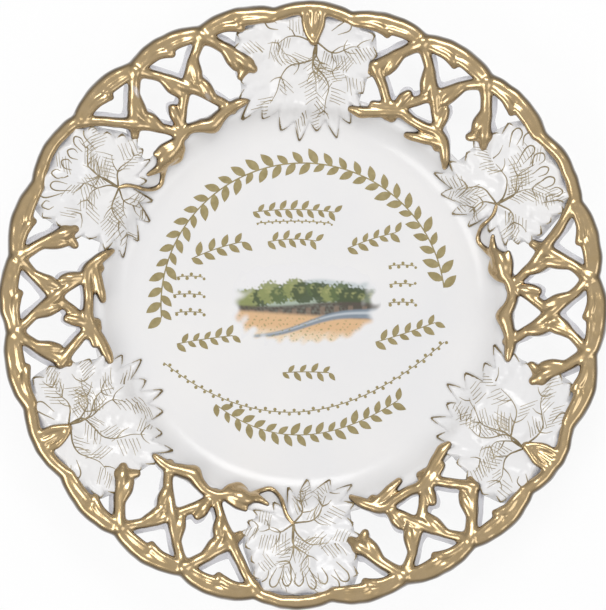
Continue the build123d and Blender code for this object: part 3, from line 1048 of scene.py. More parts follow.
@dataclass
class VineLeaf:
    """Moulded vine leaf that lies over the shoulder and reaches the outer branch. Sizes in millimetres."""

    kind: LeafKind
    repeat: int
    glaze: bpy.types.Material
    form: PlateForm = FORM
    rise: float = 1.6
    notch: float = 3.0
    well_notch: float = 8.0
    notch_shares: tuple[float, float] = (0.2, 0.5)
    tooth_swell: float = 0.16
    tooth_ways: tuple[float, ...] = (0.0, 0.25, 0.5, 0.75)
    wall_ways: tuple[float, ...] = (0.25, 0.5, 0.75)
    back_rounding: int = 30
    back_sink: float = 1.2
    back_gap: float = 0.05
    ledge_blend: tuple[float, float] = (3.5, 0.5)
    rib_rise: float = 1.25
    rib_width: float = 3.0
    rib_width_fall: tuple[float, float] = (1.25, 0.7)
    rib_rise_fall: tuple[float, float] = (1.05, 0.6)
    rib_swing: float = 0.11
    rib_stations: tuple[float, float, float] = (0.3, 0.62, 0.9)
    rib_points: int = 24
    trunk_length: float = 13.0
    trunk_reach: float = 0.2
    fold_depth: float = 0.55
    fold_width: float = 1.3
    fold_length: float = 11.0
    fold_points: int = 5
    buckle: float = 0.45
    buckle_size: float = 17.0
    crinkle: float = 0.12
    crinkle_size: float = 6.0
    flat_edge: tuple[float, float] = (0.5, 6.0)
    edge_lift: float = 0.1
    edge_round: float = 1.8
    grid: float = 0.9
    margin: Points = field(init=False)
    ribs: list[Points] = field(init=False)
    folds: list[Points] = field(init=False)

    def __post_init__(self) -> None:
        """Work out the margin, the ribs and the folds in plan."""
        plan = LEAF_PLANS[self.kind]
        self.heart = self.plan_spot(plan.base)
        self.corners = [self.plan_spot(tip) for tip in plan.tips]
        self.notches = []
        for index, corner in enumerate(self.corners):
            following = (index + 1) % len(self.corners)
            middle = (corner + self.corners[following]) / 2
            share = (plan.tips[index][1] + plan.tips[following][1]) / 2
            shallow = float(smooth_step(share, *self.notch_shares))
            depth = self.well_notch + (self.notch - self.well_notch) * shallow
            self.notches.append(middle + self.toward_heart(middle) * depth)
        rows = []
        for index, corner in enumerate(self.corners):
            rows += self.tooth_side(self.notches[index - 1], corner)
            rows += self.tooth_side(corner, self.notches[index])
        self.margin = np.array(rows)
        self.ribs = [self.rib_line(index) for index in plan.ribs]
        self.folds = [
            bend(
                spot,
                spot + self.toward_heart(spot) * self.fold_length / 2,
                spot + self.toward_heart(spot) * self.fold_length,
                self.fold_points,
            )
            for spot in self.notches
        ]
        self.seed = 11 + 10 * self.repeat + (5 if self.kind is LeafKind.RISING else 0)

    @property
    def name(self) -> str:
        """Name of the leaf's node."""
        return f"{self.kind.value}_leaf_{self.repeat + 1}"

    def plan_spot(self, tip: tuple[float, float]) -> Points:
        """Place in plan of a bearing and share on this repeat."""
        bearing = tip[0] + self.repeat * 360.0 / self.form.repeats
        return self.form.spot(bearing, self.form.across(tip[1]))

    def toward_heart(self, spot: Points) -> Points:
        """Unit direction from a place to the leaf's base."""
        way = self.heart - spot
        return way / np.linalg.norm(way)

    def tooth_side(self, start: Points, end: Points) -> list[Points]:
        """One swelling side of a tooth, without its last point.

        Args:
            start: First place.
            end: Last place.

        Returns:
            Places along the side.
        """
        outward = -self.toward_heart((start + end) / 2)
        swell = self.tooth_swell * np.linalg.norm(end - start)
        return [start + (end - start) * w + outward * swell * 2 * w * (1 - w) for w in self.tooth_ways]

    def rib_line(self, index: int) -> Points:
        """Rib that leaves the trunk, the sooner the more it turns aside, and swings to a tip in an S.

        Args:
            index: Tooth tip that the rib runs to.

        Returns:
            Places along the rib.
        """
        trunk = -self.toward_heart(self.corners[LEAF_PLANS[self.kind].trunk])
        ahead = float(-self.toward_heart(self.corners[index]) @ trunk)
        fork = self.heart + trunk * self.trunk_length * max(0.0, ahead) ** 2
        span = self.corners[index] - fork
        side = np.array((-span[1], span[0])) * self.rib_swing * (1 if index % 2 else -1)
        near, far, last = self.rib_stations
        stations = [fork, fork + span * near + side, fork + span * far - side / 2, fork + span * last]
        if ahead > self.trunk_reach:
            stations.insert(0, self.heart)
        swing = through(np.array(stations), 0.5)
        return swing[np.linspace(0, len(swing) - 1, self.rib_points).round().astype(int)]

    def over_dish(self, spots: Points) -> Points:
        """How far each place lies over the dish (1) or over the pierced rim (0)."""
        begin, end = (self.form.dish_radius - margin for margin in self.ledge_blend)
        return 1 - smooth_step(np.hypot(spots[:, 0], spots[:, 1]), begin, end)

    def upper_lift(self, spots: Points) -> Points:
        """Lift of the leaf's face: rounded edge, swelling ribs, folds from the notches, slight buckling.

        Args:
            spots: Rows of x and y.

        Returns:
            One lift for each place.
        """
        closed = np.vstack((self.margin, self.margin[:1]))
        edge, _ = line_distance(spots, closed)
        ridge = np.zeros(len(spots))
        for rib in self.ribs:
            gap, along = line_distance(spots, rib)
            width = self.rib_width * (self.rib_width_fall[0] - self.rib_width_fall[1] * along)
            height = self.rib_rise * (self.rib_rise_fall[0] - self.rib_rise_fall[1] * along)
            ridge = np.maximum(ridge, height * np.exp(-((gap / width) ** 2)))
        fold = np.zeros(len(spots))
        for line in self.folds:
            gap, along = line_distance(spots, line)
            fold = np.maximum(fold, self.fold_depth * (1 - along) * np.exp(-((gap / self.fold_width) ** 2)))
        buckle = self.buckle * ripple(spots, self.buckle_size, self.seed)
        buckle += self.crinkle * ripple(spots, self.crinkle_size, self.seed + 1)
        body = self.rise + ridge - fold + buckle * smooth_step(edge, *self.flat_edge)
        rim = np.where(self.over_dish(spots) > 0.5, self.edge_lift, 0.0)
        near = np.clip(edge / self.edge_round, 0, 1)
        return rim + (body - rim) * np.sqrt(1 - (1 - near) ** 2)

    def lower_lift(self, spots: Points) -> Points:
        """Lift of the leaf's back: sunk in the dish, and the wall's full depth past the ledge."""
        below = self.form.wall - (self.back_sink + self.back_gap)
        return -self.back_sink - below * (1 - self.over_dish(spots))

    def inside(self, spots: Points) -> Points:
        """Which places lie inside the margin.

        Args:
            spots: Rows of x and y.

        Returns:
            True for each place inside.
        """
        x, y = spots[:, 0], spots[:, 1]
        found = np.zeros(len(spots), bool)
        for first, last in zip(self.margin, np.roll(self.margin, -1, axis=0)):
            if first[1] == last[1]:
                continue
            crosses = (first[1] > y) != (last[1] > y)
            found ^= crosses & (x < (last[0] - first[0]) * (y - first[1]) / (last[1] - first[1]) + first[0])
        return found

    def rounded_back(self, flat: Points, rim: list[tuple[int, int]], links: Points) -> Points:
        """Places of the back, whose outline runs smoothly below the teeth.

        Args:
            flat: Places of the face.
            rim: Edges round the outline.
            links: All edges of the face.

        Returns:
            Places in the same order.
        """
        following = dict(rim)
        loop = [rim[0][0]]
        while following[loop[-1]] != loop[0]:
            loop.append(following[loop[-1]])
        back = flat.copy()
        outline = flat[loop]
        for _ in range(self.back_rounding):
            outline = (np.roll(outline, 1, axis=0) + 2 * outline + np.roll(outline, -1, axis=0)) / 4
        back[loop] = outline
        free = np.ones(len(flat), bool)
        free[loop] = False
        count = np.bincount(links[:, 0], minlength=len(flat))[:, None]
        for _ in range(self.back_rounding):
            total = np.zeros_like(back)
            np.add.at(total, links[:, 0], back[links[:, 1]])
            back[free] = (total / np.maximum(count, 1))[free]
        return back

    def build(self) -> bpy.types.Object:
        """Mesh the face, the back and the wall between them.

        Returns:
            The finished piece.
        """
        low, high = self.margin.min(axis=0), self.margin.max(axis=0)
        columns = np.arange(low[0], high[0], self.grid)
        lines = np.arange(low[1], high[1], self.grid * math.sqrt(3) / 2)
        spots = np.array(
            [(x + (0.5 * self.grid if row % 2 else 0.0), y) for row, y in enumerate(lines) for x in columns]
        )
        spots = spots[self.inside(spots)]
        edge, _ = line_distance(spots, np.vstack((self.margin, self.margin[:1])))
        spots = spots[edge > self.grid * 0.5]
        count = len(self.margin)
        border = [(i, (i + 1) % count) for i in range(count)]
        cast = delaunay_2d_cdt(
            [Vector(p) for p in np.vstack((self.margin, spots)).tolist()], border, [], 1, 1e-5
        )
        flat = np.array([tuple(v) for v in cast[0]])
        faces = [tuple(f) for f in cast[2]]
        total = len(flat)
        top = np.column_stack((flat, self.upper_lift(flat)))
        bottom = np.column_stack((flat, self.lower_lift(flat)))
        edge_of = {}
        for face in faces:
            for a, b in zip(face, face[1:] + face[:1]):
                edge_of[(a, b)] = edge_of.get((a, b), 0) + 1
        rim = [(a, b) for a, b in edge_of if (b, a) not in edge_of]
        on_rim = sorted({a for a, _ in rim})
        slot_of = {vertex: i for i, vertex in enumerate(on_rim)}
        bottom[:, :2] = self.rounded_back(flat, rim, np.array(list(edge_of)))
        walls = [top[on_rim] + (bottom[on_rim] - top[on_rim]) * way for way in self.wall_ways]
        points = self.form.drape(np.vstack((top, bottom, *walls)))
        made = list(faces)
        made += [tuple(total + v for v in reversed(face)) for face in faces]
        starts = [2 * total + k * len(on_rim) for k in range(len(walls))]
        for a, b in rim:
            ladder = [(a, b)]
            ladder += [(start + slot_of[a], start + slot_of[b]) for start in starts]
            ladder.append((total + a, total + b))
            for (a0, b0), (a1, b1) in zip(ladder, ladder[1:]):
                made.append((b0, a0, a1, b1))
        piece = mesh_object(f"{self.name}_glazed", points, made, self.glaze)
        hand_over(piece, "white_porcelain", self.name)
        return piece


@dataclass
class LeafPainting:
    """Gold brushwork on one leaf: veins, hatching beside them and strokes round the teeth.

    Against the branch the margin carries loops like fingers, slid sideways from each corner.
    """

    leaf: VineLeaf
    gold: bpy.types.Material
    stroke_step: float = 0.7
    fewest_points: int = 3
    vein_width: float = 1.0
    vein_tip: float = 0.3
    vein_reach: tuple[float, float] = (0.62, 0.90)
    twig_vein_width: float = 0.7
    twig_vein_tip: float = 0.2
    twig_vein_ways: tuple[float, ...] = (0.34, 0.56, 0.76)
    twig_vein_gaps: float = 0.3
    twig_vein_angles: tuple[float, float] = (32.0, 52.0)
    twig_vein_lengths: tuple[float, float] = (6.0, 11.0)
    twig_vein_fall: tuple[float, float] = (1.15, 0.5)
    twig_vein_bow: float = 1.25
    hatch_width: float = 0.36
    hatch_tip: float = 0.22
    hatch_ways: tuple[float, ...] = (0.2, 0.38, 0.56, 0.72)
    hatch_angles: tuple[float, float] = (50.0, 80.0)
    hatch_pitches: tuple[float, float] = (1.5, 2.1)
    hatch_counts: tuple[int, int] = (4, 8)
    hatch_starts: tuple[float, float] = (0.8, 1.8)
    hatch_lengths: tuple[float, float] = (5.0, 9.5)
    hatch_sags: tuple[float, float] = (-0.3, 0.5)
    tooth_width: float = 1.9
    tooth_tip: float = 0.25
    tooth_inset: float = 0.55
    tooth_weights: tuple[float, float] = (0.6, 1.0)
    tooth_reaches: tuple[float, float] = (0.86, 0.62)
    tooth_spread: tuple[float, float] = (0.85, 1.1)
    tooth_easing: tuple[float, float] = (0.45, 0.7)
    branch_share: float = 0.85
    finger_halves: tuple[float, float] = (2.0, 2.7)
    finger_depths: tuple[float, float] = (10.0, 17.0)
    finger_widths: tuple[float, float, float] = (0.3, 0.25, 0.5)
    film: float = 0.2
    float_height: float = 0.05
    fingers: ClassVar[dict[LeafKind, tuple[float, ...]]] = {
        LeafKind.HANGING: (0.0,),
        LeafKind.RISING: (-3.2, 3.2),
    }

    def stroke(self, line: Points, first: float, last: float, belly: float = 0.0) -> Points:
        """One stroke as rows of x, y, lift and half width.

        Args:
            line: Places in plan.
            first: Width at the start.
            last: Width at the end.
            belly: Width added in the middle.

        Returns:
            The stroke, laid on the leaf.
        """
        line = through(line, self.stroke_step)
        way = np.linspace(0, 1, len(line))
        width = first + (last - first) * way + belly * np.sin(math.pi * way)
        lift = self.leaf.upper_lift(line) + self.float_height
        return np.column_stack((line, lift, width / 2))

    def veins(self, rng: np.random.Generator) -> list[Points]:
        """Main veins with a few side veins each.

        Args:
            rng: Source of the random draws.

        Returns:
            Strokes, each as rows of x, y, lift and half width.
        """
        strokes = []
        for rib in self.leaf.ribs:
            reach = int(len(rib) * rng.uniform(*self.vein_reach))
            strokes.append(self.stroke(rib[:reach:3], self.vein_width, self.vein_tip))
            for way in self.twig_vein_ways:
                root, heading = self.rib_spot(rib, way)
                for side in (-1, 1):
                    if rng.random() < self.twig_vein_gaps:
                        continue
                    angle = side * math.radians(rng.uniform(*self.twig_vein_angles))
                    shortened = self.twig_vein_fall[0] - self.twig_vein_fall[1] * way
                    length = rng.uniform(*self.twig_vein_lengths) * shortened
                    tip = root + self.turned(heading, angle) * length
                    middle = root + self.turned(heading, angle * self.twig_vein_bow) * length / 2
                    line = np.array([root, middle, tip])
                    strokes.append(self.stroke(line, self.twig_vein_width, self.twig_vein_tip))
        return strokes

    def hatching(self, rng: np.random.Generator) -> list[Points]:
        """Groups of short parallel strokes between the veins.

        Args:
            rng: Source of the random draws.

        Returns:
            Strokes, each as rows of x, y, lift and half width.
        """
        strokes = []
        for rib in self.leaf.ribs:
            for way in self.hatch_ways:
                side = rng.choice((-1, 1))
                root, heading = self.rib_spot(rib, way)
                out = self.turned(heading, side * math.radians(rng.uniform(*self.hatch_angles)))
                pitch = rng.uniform(*self.hatch_pitches)
                for step in range(rng.integers(*self.hatch_counts)):
                    start = root + heading * step * pitch + out * rng.uniform(*self.hatch_starts)
                    end = start + out * rng.uniform(*self.hatch_lengths)
                    sag = (start + end) / 2 + heading * rng.uniform(*self.hatch_sags)
                    line = np.array([start, sag, end])
                    strokes.append(self.stroke(line, self.hatch_width, self.hatch_tip))
        return strokes

    def teeth(self, rng: np.random.Generator) -> list[Points]:
        """A swelling stroke round each free tooth, and a loop at each tooth against the branch.

        Args:
            rng: Source of the random draws.

        Returns:
            Strokes, each as rows of x, y, lift and half width.
        """
        strokes = []
        tips = LEAF_PLANS[self.leaf.kind].tips
        for index, (corner, tip) in enumerate(zip(self.leaf.corners, tips)):
            inward = self.leaf.toward_heart(corner)
            sideways = np.array((-inward[1], inward[0]))
            if tip[1] > self.branch_share:
                for slide in self.fingers[self.leaf.kind]:
                    half = rng.uniform(*self.finger_halves)
                    deep = rng.uniform(*self.finger_depths)
                    base = corner + sideways * slide
                    loop = [
                        base + inward * deep - sideways * half * 0.6,
                        base + inward * 7 - sideways * half,
                        base + inward * 4.2,
                        base + inward * 6.5 + sideways * half,
                        base + inward * deep * 0.85 + sideways * half * 0.7,
                    ]
                    strokes.append(self.stroke(np.array(loop), *self.finger_widths))
                continue
            heavy = rng.uniform(*self.tooth_weights) * self.tooth_width
            beside = (self.leaf.notches[index - 1], self.leaf.notches[index])
            for notch, reach in zip(beside, self.tooth_reaches):
                side = self.leaf.tooth_side(corner, notch) + [notch]
                line = np.array([p + self.leaf.toward_heart(p) * self.tooth_inset for p in side])
                length = int(round(len(line) * reach * rng.uniform(*self.tooth_spread)))
                strokes.append(self.stroke(line[:max(self.fewest_points, length)], heavy, self.tooth_tip))
                heavy *= rng.uniform(*self.tooth_easing)
        return strokes

    @staticmethod
    def rib_spot(rib: Points, way: float) -> tuple[Points, Points]:
        """Where a rib is some way along, and where it heads.

        Args:
            rib: Places along the rib.
            way: From 0 at its root to 1 at its tip.

        Returns:
            The place, and a unit direction.
        """
        index = int(way * (len(rib) - 1))
        heading = rib[index + 1] - rib[index - 1]
        return rib[index], heading / np.linalg.norm(heading)

    @staticmethod
    def turned(heading: Points, angle: float) -> Points:
        """A direction turned by an angle."""
        cos, sin = math.cos(angle), math.sin(angle)
        return np.array((heading[0] * cos - heading[1] * sin, heading[0] * sin + heading[1] * cos))

    def build(self) -> bpy.types.Object:
        """Draw all strokes with the stroke tree and drape them on the leaf.

        Returns:
            The finished piece.
        """
        rng = np.random.default_rng(self.leaf.seed)
        strokes = self.veins(rng) + self.hatching(rng) + self.teeth(rng)
        kept = []
        for stroke in strokes:
            within = self.leaf.inside(stroke[:, :2])
            stop = len(within) if within.all() else int(np.argmin(within))
            if stop >= self.fewest_points:
                kept.append(stroke[:stop])
        helper = line_mesh(f"{self.leaf.name}_lines", kept)
        tree, keys = TREES["strokes"]
        apply_tree(helper, tree, keys, {"Film": self.film, "Material": self.gold})
        mesh = settle(helper, f"{self.leaf.name}_gold_lines")
        set_points(mesh, FORM.drape(get_points(mesh)))
        mesh.shade_smooth()
        piece = put_in_scene(mesh.name, mesh)
        hand_over(piece, "gilded_porcelain")
        return piece


# Pierced panels


@dataclass(frozen=True)
class PanelPlan:
    """What one kind of panel holds.

    A twig is its knot, its lean, where it starts and ends (0 at the branch, 1 at the crossing, 2 at
    the dish's edge) and the tips of its spurs. The other sticks are runs of bearing, radius, lift and
    half thickness, in millimetres.
    """

    start: float
    end: float
    scallops: tuple[int, ...]
    twigs: tuple
    sticks: tuple
    nodes: tuple[str, ...]


PANEL_PLANS = {
    Panel.WIDE: PanelPlan(
        -4.0,
        55.0,
        (0, 1, 2),
        (
            (0, 1, 0.0, 2.0, (1.28,)),
            (1, -1, 0.0, 1.25, (0.82,)),
            (1, 1, 0.0, 2.0, (0.9, 1.3)),
            (2, -1, 0.0, 2.0, (0.85, 1.55)),
            (2, 1, 0.0, 1.15, (0.85,)),
            (3, -1, 0.95, 1.3, ()),
        ),
        (
            (
                (10.0, 108.3, 0.6, 1.1), (12.0, 107.2, 0.7, 1.6), (14.0, 106.8, 0.9, 2.2),
                (16.0, 108.2, 1.0, 3.4), (18.5, 108.6, 1.1, 3.9), (21.0, 109.0, 1.0, 3.2),
                (24.0, 111.4, 0.9, 3.0), (27.0, 111.9, 0.9, 2.9), (30.0, 110.4, 1.0, 3.2),
                (33.0, 108.5, 1.1, 3.8), (36.0, 110.0, 1.0, 3.4), (39.0, 111.9, 0.9, 3.1),
                (42.0, 112.9, 0.9, 3.0), (44.5, 113.2, 0.8, 2.0),
            ),
            ((16.8, 104.4, 0.6, 1.5), (19.6, 104.2, 0.9, 2.3), (22.4, 107.6, 1.0, 2.4)),
            ((15.6, 112.9, 0.5, 1.6), (18.0, 112.4, 0.8, 2.3), (21.0, 111.2, 0.8, 2.4)),
            (
                (2.5, 117.0, 2.2, 1.3), (4.6, 112.6, 1.9, 1.25), (6.2, 106.1, 1.3, 1.2),
                (8.0, 101.8, 0.8, 1.2), (10.2, 100.3, 0.6, 1.25), (12.8, 102.5, 0.6, 1.4),
                (15.2, 105.6, 0.8, 1.8),
            ),
        ),
        ("wide_trellis", "wide_shoulder_twig", "rising_stem"),
    ),
    Panel.NARROW: PanelPlan(
        55.0,
        116.0,
        (4, 5, 6),
        (
            (5, -1, 0.0, 1.15, (0.82,)),
            (5, 1, 0.0, 2.0, (0.88, 1.4)),
            (6, -1, 0.0, 2.0, (0.85, 1.55)),
            (6, 1, 0.0, 1.2, (0.9,)),
            (4, 1, 0.95, 2.0, ()),
            (7, -1, 0.95, 1.3, ()),
        ),
        (
            (
                (73.5, 107.9, 0.7, 1.6), (76.0, 108.3, 0.9, 2.7), (79.0, 109.6, 0.9, 2.9),
                (82.0, 111.4, 0.9, 2.9), (85.0, 113.6, 0.8, 2.8), (87.5, 115.2, 0.7, 2.9),
                (90.5, 114.6, 0.7, 2.8), (94.0, 115.0, 0.7, 2.9), (97.5, 116.4, 0.7, 2.9),
                (100.0, 115.6, 0.7, 3.0), (102.0, 112.8, 0.9, 3.0), (104.2, 109.4, 0.9, 2.6),
                (106.0, 106.2, 0.7, 1.5),
            ),
            (
                (91.0, 107.2, 0.5, 1.5), (94.0, 109.0, 0.8, 2.5), (97.0, 110.9, 0.9, 2.7),
                (100.2, 113.2, 0.9, 2.8),
            ),
            ((79.0, 113.4, 0.4, 1.8), (83.0, 115.6, 0.6, 2.6), (86.5, 118.8, 0.2, 2.8)),
            (
                (60.4, 155.0, 0.4, 2.2), (60.4, 149.5, 1.4, 2.1), (61.0, 144.6, 1.9, 2.0),
                (62.0, 141.0, 2.0, 2.4),
            ),
            (
                (63.8, 155.0, 0.4, 2.2), (63.7, 149.2, 1.4, 2.2), (63.2, 144.4, 1.9, 2.1),
                (62.4, 140.8, 2.0, 2.8),
            ),
            ((62.1, 155.6, 0.6, 2.3), (62.1, 149.6, 0.9, 2.1), (62.1, 145.0, 1.2, 1.8)),
        ),
        ("narrow_trellis", "narrow_shoulder_twig", "hanging_stem"),
    ),
}


@dataclass
class PiercedPanel:
    """One sixth of the gilded rim: its stretch of outer branch, crossing twigs, shoulder twig and stem.

    Sizes in millimetres. A row of a shoot is its share of the scallop, radius, lift and share of thickness.
    """

    kind: Panel
    repeat: int
    gold: bpy.types.Material
    form: PlateForm = FORM
    scallops: int = 8
    first_knot: float = 9.5
    notch_line: float = 152.3
    scallop_depth: float = 3.5
    scallop_power: float = 0.85
    scallop_dip: float = 0.25
    branch_radius: float = 3.6
    branch_line: float = 153.2
    branch_lift: float = -1.0
    branch_step: float = 0.6
    branch_end: float = 0.2
    overlap: float = 2.6
    shoot_radius: float = 2.3
    shoot_runs: ClassVar[tuple] = (
        (
            (0.03, 152.0, 0.5, 1.05), (0.17, 152.4, 1.1, 1.05), (0.33, 152.7, 1.3, 1.15),
            (0.45, 151.6, 1.2, 1.2), (0.52, 149.8, 0.8, 0.9),
        ),
        (
            (0.97, 152.0, 0.5, 1.05), (0.83, 152.4, 1.1, 1.0), (0.7, 152.8, 1.3, 1.05),
            (0.57, 153.0, 1.2, 1.1), (0.5, 152.8, 0.8, 1.0),
        ),
    )
    twig_radius: float = 2.95
    twig_lift: float = -0.3
    twig_step: float = 0.05
    twig_slack: float = 0.001
    twig_past_edge: float = 0.1
    root_swell: tuple[float, float] = (0.3, 0.16)
    crossing_swell: tuple[float, float] = (0.2, 0.14)
    crossing_share: float = 0.6
    over_rise: float = 1.0
    over_run: float = 0.3
    stub_fall: tuple[float, float] = (1.15, 0.3)
    stub_run: float = 0.3
    spur_radius: float = 2.4
    spur_lift: float = 0.35
    spur_look: float = 0.04
    spur_offsets: tuple[float, ...] = (0.4, 1.9, 3.5, 4.8)
    spur_sizes: tuple[float, ...] = (1.0, 1.3, 1.4, 1.1)
    upper_spur: tuple[float, float] = (-0.42, 0.0)
    lower_spur: tuple[float, float] = (0.3, -0.06)
    spacing: float = 0.5
    depth: float = 1.45
    flare: float = 0.12
    wobble: float = 1.5
    wobble_size: float = 13.0
    voxel: float = 0.5
    soften_factor: float = 0.5
    softening: int = 24
    dimple: float = 0.12
    dimple_size: float = 11.0
    dish_margin: float = 1.0
    dish_depth: float = 3.6
    gilt_on_dish: float = -0.1
    gilt_on_branch: float = -8.0
    gilt_on_walls: tuple[float, float, float] = (0.4, 0.3, 9.0)
    gilt_blend: float = 0.2
    rub_size: float = 16.0
    rub_range: tuple[float, float] = (1.9, 2.4)
    rub_share: float = 0.6
    # Upward normal heights, negated, over which the painted shade on the flanks grows from none to full.
    flank_shade_normals: tuple[float, float] = (-0.84, -0.30)

    @property
    def plan(self) -> PanelPlan:
        """What this kind of panel holds."""
        return PANEL_PLANS[self.kind]

    @property
    def knot_step(self) -> float:
        """Angle from one knot of the branch to the next."""
        return 360.0 / self.form.repeats / self.scallops

    def row(self, bearing: float, radius: float, lift: float, thickness: float) -> Points:
        """One point of a run on this repeat."""
        turned = bearing + self.repeat * 360.0 / self.form.repeats
        return np.array((*self.form.spot(turned, radius), lift, thickness))

    def branch(self) -> list[Points]:
        """Outer branch along the scallops; its ends taper inside the neighbouring panels.

        Returns:
            Runs, each as rows of x, y, lift and half thickness.
        """
        rows = []
        start, end = self.plan.start, self.plan.end
        for bearing in np.arange(start - self.overlap, end + self.overlap, self.branch_step):
            phase = (bearing - self.first_knot) / self.knot_step % 1.0
            bulge = math.sin(math.pi * phase) ** self.scallop_power
            full = float(smooth_step(min(bearing - start, end - bearing), -self.overlap, -self.overlap / 3))
            taper = self.branch_end + (1 - self.branch_end) * full
            radius = self.branch_line + self.scallop_depth * bulge
            lift = self.branch_lift - self.scallop_dip * bulge
            rows.append(self.row(bearing, radius, lift, self.branch_radius * taper))
        return [np.array(rows)]

    def shoots(self) -> list[Points]:
        """In each scallop, a shoot from either knot; the first turns in to a pointed spur.

        Returns:
            Runs, each as rows of x, y, lift and half thickness.
        """
        runs = []
        for scallop in self.plan.scallops:
            start = self.first_knot + scallop * self.knot_step
            for run in self.shoot_runs:
                rows = [
                    self.row(start + way * self.knot_step, radius, lift, self.shoot_radius * size)
                    for way, radius, lift, size in run
                ]
                runs.append(through(rows, 1.0))
        return runs

    def twig_place(self, knot: int, lean: int, way: float) -> tuple[float, float]:
        """Bearing and radius some way along a trellis twig.

        Args:
            knot: Knot that the twig grows from.
            lean: 1 or -1, the way it leans.
            way: 0 at the branch, 1 at the crossing, 2 at the dish's edge.

        Returns:
            The bearing and the radius.
        """
        bearing = self.first_knot + (knot + lean * way / 2) * self.knot_step
        crossing = self.form.across(self.crossing_share)
        if way <= 1:
            return bearing, self.notch_line + (crossing - self.notch_line) * way
        return bearing, crossing + (self.form.dish_radius - crossing) * (way - 1)

    def twigs(self) -> list[Points]:
        """Crossing twigs, thick at root and crossing, with their spurs.

        Returns:
            Runs, each as rows of x, y, lift and half thickness.
        """
        runs = []
        for knot, lean, start, end, spurs in self.plan.twigs:
            whole = end == 2.0
            stop = end + self.twig_past_edge if whole else end
            rows = []
            for way in np.arange(start, stop + self.twig_slack, self.twig_step):
                bearing, radius = self.twig_place(knot, lean, way)
                swell = self.root_swell[0] * math.exp(-((way / self.root_swell[1]) ** 2))
                swell += self.crossing_swell[0] * math.exp(-(((way - 1) / self.crossing_swell[1]) ** 2))
                thickness = self.twig_radius * (1 + swell)
                if not whole:
                    ending = float(smooth_step(way, end - self.stub_run, end))
                    thickness *= self.stub_fall[0] - self.stub_fall[1] * ending
                lift = self.twig_lift
                if lean > 0:
                    lift += self.over_rise * math.exp(-(((way - 1) / self.over_run) ** 2))
                rows.append(self.row(bearing, radius, lift, thickness))
            runs.append(np.array(rows))
            runs += [self.spur(knot, lean, tip) for tip in spurs]
        return runs

    def spur(self, knot: int, lean: int, tip: float) -> Points:
        """A tear-shaped spur that leaves a twig at a narrow angle and points into the open diamond.

        Args:
            knot: Knot that the twig grows from.
            lean: 1 or -1, the way it leans.
            tip: How far along the twig the spur's tip is.

        Returns:
            Rows of x, y, lift and half thickness.
        """
        upper = tip < 1
        root, point = self.upper_spur if upper else self.lower_spur
        ways = np.linspace(tip + root, tip + point, len(self.spur_offsets))
        rows = []
        for way, offset, size in zip(ways, self.spur_offsets, self.spur_sizes):
            here = self.row(*self.twig_place(knot, lean, way), 0.0, 0.0)[:2]
            ahead = self.row(*self.twig_place(knot, lean, way + self.spur_look), 0.0, 0.0)[:2]
            along = (ahead - here) / np.linalg.norm(ahead - here)
            side = np.array((along[1], -along[0]))
            facing = side if (side @ here > 0) != upper else -side
            rows.append((*(here + facing * offset), self.spur_lift, self.spur_radius * size))
        return through(np.array(rows), 0.8)

    def sticks(self) -> list[Points]:
        """Crooked sticks along the dish's shoulder, and the leaf's stem."""
        return [through([self.row(*spot) for spot in run], 0.9) for run in self.plan.sticks]

    def build(self) -> bpy.types.Object:
        """Fuse the runs into one twiggy body, gild it and drape it over the rim.

        Returns:
            The finished piece.
        """
        runs = self.branch() + [dome_ends(run) for run in self.shoots() + self.twigs() + self.sticks()]
        name = f"{self.kind.value}_gilded_panel_{self.repeat + 1}"
        helper = line_mesh(f"{name}_lines", runs)
        tree, keys = TREES["tubes"]
        values = {
            "Spacing": self.spacing, "Depth": self.depth, "Flare": self.flare, "Wobble": self.wobble,
            "Wobble Size": self.wobble_size, "Material": self.gold,
        }
        apply_tree(helper, tree, keys, values)
        fuse = helper.modifiers.new("fuse", "REMESH")
        fuse.mode = "VOXEL"
        fuse.voxel_size = self.voxel
        soften = helper.modifiers.new("soften", "SMOOTH")
        soften.factor = self.soften_factor
        soften.iterations = self.softening
        mesh = settle(helper, name)
        plan = get_points(mesh)
        plan += get_normals(mesh) * self.dimple * ripple(plan, self.dimple_size, 3)[:, None]
        radius = np.hypot(plan[:, 0], plan[:, 1])
        on_dish = radius < self.form.dish_radius + self.dish_margin
        plan[:, 2] = np.maximum(plan[:, 2], np.where(on_dish, -self.dish_depth, -self.form.wall))
        height, ragged, size = self.gilt_on_walls
        edge = np.where(on_dish, self.gilt_on_dish, height + ragged * ripple(plan[:, :2], size, 5))
        edge = np.where(radius > self.branch_line, self.gilt_on_branch, edge)
        gilt = smooth_step(plan[:, 2] - edge, -self.gilt_blend, self.gilt_blend)
        rubbed = smooth_step(ripple(plan, self.rub_size, 6), *self.rub_range) * self.rub_share
        # Painted shade: faces that turn sideways and down get the dark flank colour, standing for the dim
        # room they reflect.
        flank = smooth_step(-get_normals(mesh)[:, 2], *self.flank_shade_normals)
        set_points(mesh, self.form.drape(plan))
        set_values(mesh, "gilt", gilt * (1 - rubbed))
        set_values(mesh, "flank", flank)
        mesh.materials.clear()
        mesh.materials.append(self.gold)
        mesh.shade_smooth()
        piece = put_in_scene(name, mesh)
        nodes = [f"{node}_{self.repeat + 1}" for node in self.plan.nodes]
        hand_over(piece, "gilded_porcelain", "rim_branch", *nodes)
        return piece


# Well


class Motif(Enum):
    """What a spray carries along its stem."""

    LEAF = "leaf"
    BERRY = "berry"


@dataclass(frozen=True)
class Spray:
    """A gilt spray in the well: a stem through three places, with motifs in turn on both sides."""

    name: str
    stem: tuple[tuple[float, float], tuple[float, float], tuple[float, float]]
    motif: Motif
    motif_length: float
    spacing: float
    stem_width: float = 0.5


